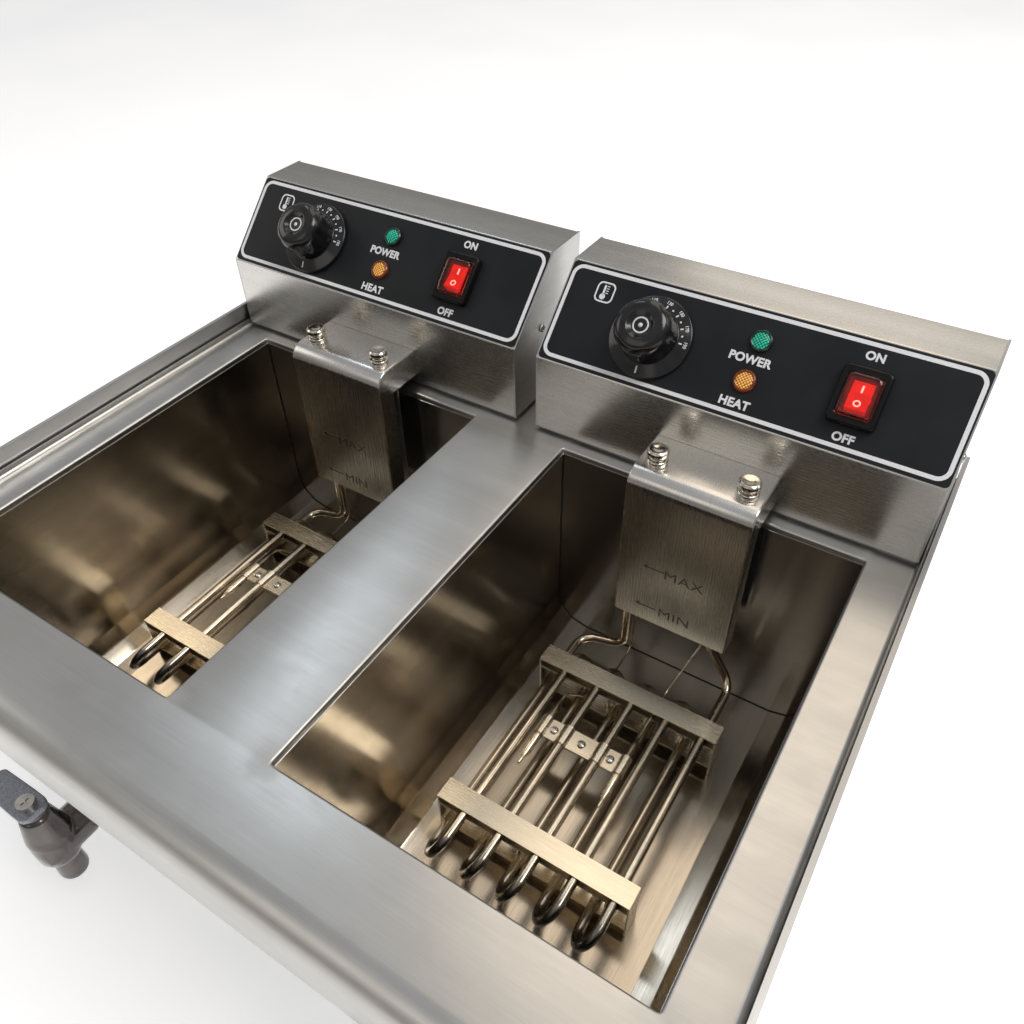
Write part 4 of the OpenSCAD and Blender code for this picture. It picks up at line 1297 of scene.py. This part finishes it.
def sensors(side):
    """Two thermostat bulbs with crimped ends, and the capillary tubes that lead up from them."""
    front = head_box(side, "sensor_bulbs")[0].y
    up = LEG_BACK + 1  # the capillaries rise beside the legs
    routes = (
        [(BULB_BACK + 4, UPPER_Z), (-40, 222, -159), (-30.5, 245, -160), (-30.5, up, -160),
         (-30.5, up, LEG_TOP)],
        [(250, UPPER_Z), (25, up, -118), (25, up, LEG_TOP)],
    )
    ends = [(0, 1.1), (5, 1.3), (6, 2.1), (9, 2.3), (10.5, BULB_R)]
    ys = [front + d for d, _ in ends] + [BULB_BACK - d for d, _ in reversed(ends)]
    radii = [r for _, r in ends] + [r for _, r in reversed(ends)]
    shape = Shape()
    for x, (start, *rest) in zip(BULB_X, routes):
        shape.tube([Vector((x, y, UPPER_Z)) for y in ys], radii, 24)
        corners = [(x, BULB_BACK - 4, UPPER_Z), (x, *start), *rest, (rest[-1][0], CAPILLARY_END, LEG_TOP)]
        shape.tube(bent([Vector(corner) for corner in corners], 10, 12), CAPILLARY_R, 10)
    side_piece(
        side, "bulbs", shape, head_frame(side), "head", bulb_copper, "sensor_bulbs", angle=50
    )


def head(side):
    head_shell(side)
    label(side)
    knob(side)
    lamp(side, "power", POWER_UP, lens_green, rim_green)
    lamp(side, "heat", HEAT_UP, lens_amber, rim_amber)
    switch(side)
    cover(side)
    studs(side)
    element(side)
    sensors(side)
    screws(f"{side}_head_screws", f"{side}_head")
    for node, material, edge, segments in (
        ("end_plates", end_steel, 0.5, 2), ("chassis", inner_steel, 0, 2), ("knob_shaft", shaft_steel, 0, 2),
        ("element_brackets", bracket_steel, 0.3, 2), ("bulb_clamp", bracket_steel, 0.25, 2),
        ("cord_gland", gland_black, 0.6, 3), ("thermostat", resin, 0.6, 2), ("limiter", resin, 0.6, 2),
    ):
        cad_piece(f"{side}_{node}", material, edge, segments)


# ---------------------------------------------------------------- stage, light and camera

def stage():
    """A pale floor, and a graded sky with soft patches for the metal to reflect."""
    shape = Shape()
    shape.face([Vector((x, y, 0)) for x, y in ((-6, -6), (6, -6), (6, 6), (-6, 6))])
    floor = shape.linked("floor")
    material = bpy.data.materials.new("floor")
    n = Nodes(material)
    tone = n.ramp(n.noise(3.0), (0.3, (0.90, 0.90, 0.91)), (0.7, (0.94, 0.94, 0.94)))
    n.set(Base_Color=tone, Roughness=0.7, Emission_Color=tone, Emission_Strength=0.42)
    floor.data.materials.append(material)
    world = bpy.data.worlds.new("studio")
    bpy.context.scene.world = world
    n = Nodes(world, "Background")
    place = n.add("ShaderNodeTexCoord").outputs["Generated"]
    height = n.add("ShaderNodeSeparateXYZ", {"Vector": place}).outputs["Z"]
    n.set(
        Color=n.ramp(height, (0.0, (0.24, 0.22, 0.195)), (0.9, (0.42, 0.43, 0.445))),
        Strength=n.span(n.noise(2.4, 2, 0.5, 0.0, place), 0.75, 1.25, 0.35, 0.65),
    )


def lights():
    """Large soft lights; a lamp's brightness as seen in the metal is its power over pi times its area."""
    middle = (cad_low + cad_high) / 2
    for name, place, size, brightness, colour in (
        ("warm_back", (-0.10, 1.24, 2.23), (0.9, 1.6), 1.4, (1.0, 0.84, 0.65)),
        ("cool_back_left", (-1.06, 0.79, 2.06), (0.3, 0.6), 3.4, (0.80, 0.90, 1.0)),
        ("low_back", (-0.15, 3.0, 1.5), (1.5, 0.7), 0.9, (1.0, 0.92, 0.80)),
        ("key", (1.45, 0.15, 2.65), (1.4, 1.3), 7.0, (1.0, 0.97, 0.93)),
        ("front", (-0.53, -1.98, 1.68), (1.3, 0.9), 0.8, (1.0, 0.93, 0.82)),
        ("front_left", (-2.2, -0.6, 1.4), (1.0, 1.0), 1.6, (1.0, 0.95, 0.88)),
        ("right_back", (2.9, 1.9, 2.4), (1.5, 1.4), 1.3, (1.0, 0.98, 0.95)),
    ):
        light = bpy.data.lights.new(name, "AREA")
        light.shape = "RECTANGLE"
        light.size, light.size_y = size
        light.energy = brightness * math.pi * size[0] * size[1]
        light.color = colour
        holder = linked(name, light)
        holder.location = place
        holder.rotation_mode = "QUATERNION"
        holder.rotation_quaternion = (middle - Vector(place)).to_track_quat("-Z", "Y")


def camera():
    """The camera stands to the right of the middle in front of the fryer and looks down into the tanks."""
    data = bpy.data.cameras.new("camera")
    data.sensor_width = 36
    data.lens = 30.22
    data.clip_start = 0.02
    right = Vector((0.84570, 0.53342, -0.01582))
    up = Vector((-0.35192, 0.57975, 0.73488))
    holder = linked("camera", data)
    axes = Matrix((right, up, right.cross(up))).transposed().to_4x4()
    holder.matrix_world = Matrix.Translation((0.27398, -0.29845, 0.65992)) @ axes
    bpy.context.scene.camera = holder


deck()
for side in SIDES:
    tank(side)
    tap(side)
    head(side)
    cad_piece(f"{side}_side_panel", side_steel, 0.5)
for node in ("front_panel", "rear_panel", "base_plate"):
    cad_piece(node, cabinet_steel, 0.3)
screws("cabinet_screws", "cabinet")
feet()
stage()
lights()
camera()
bpy.context.scene.view_settings.view_transform = "Standard"
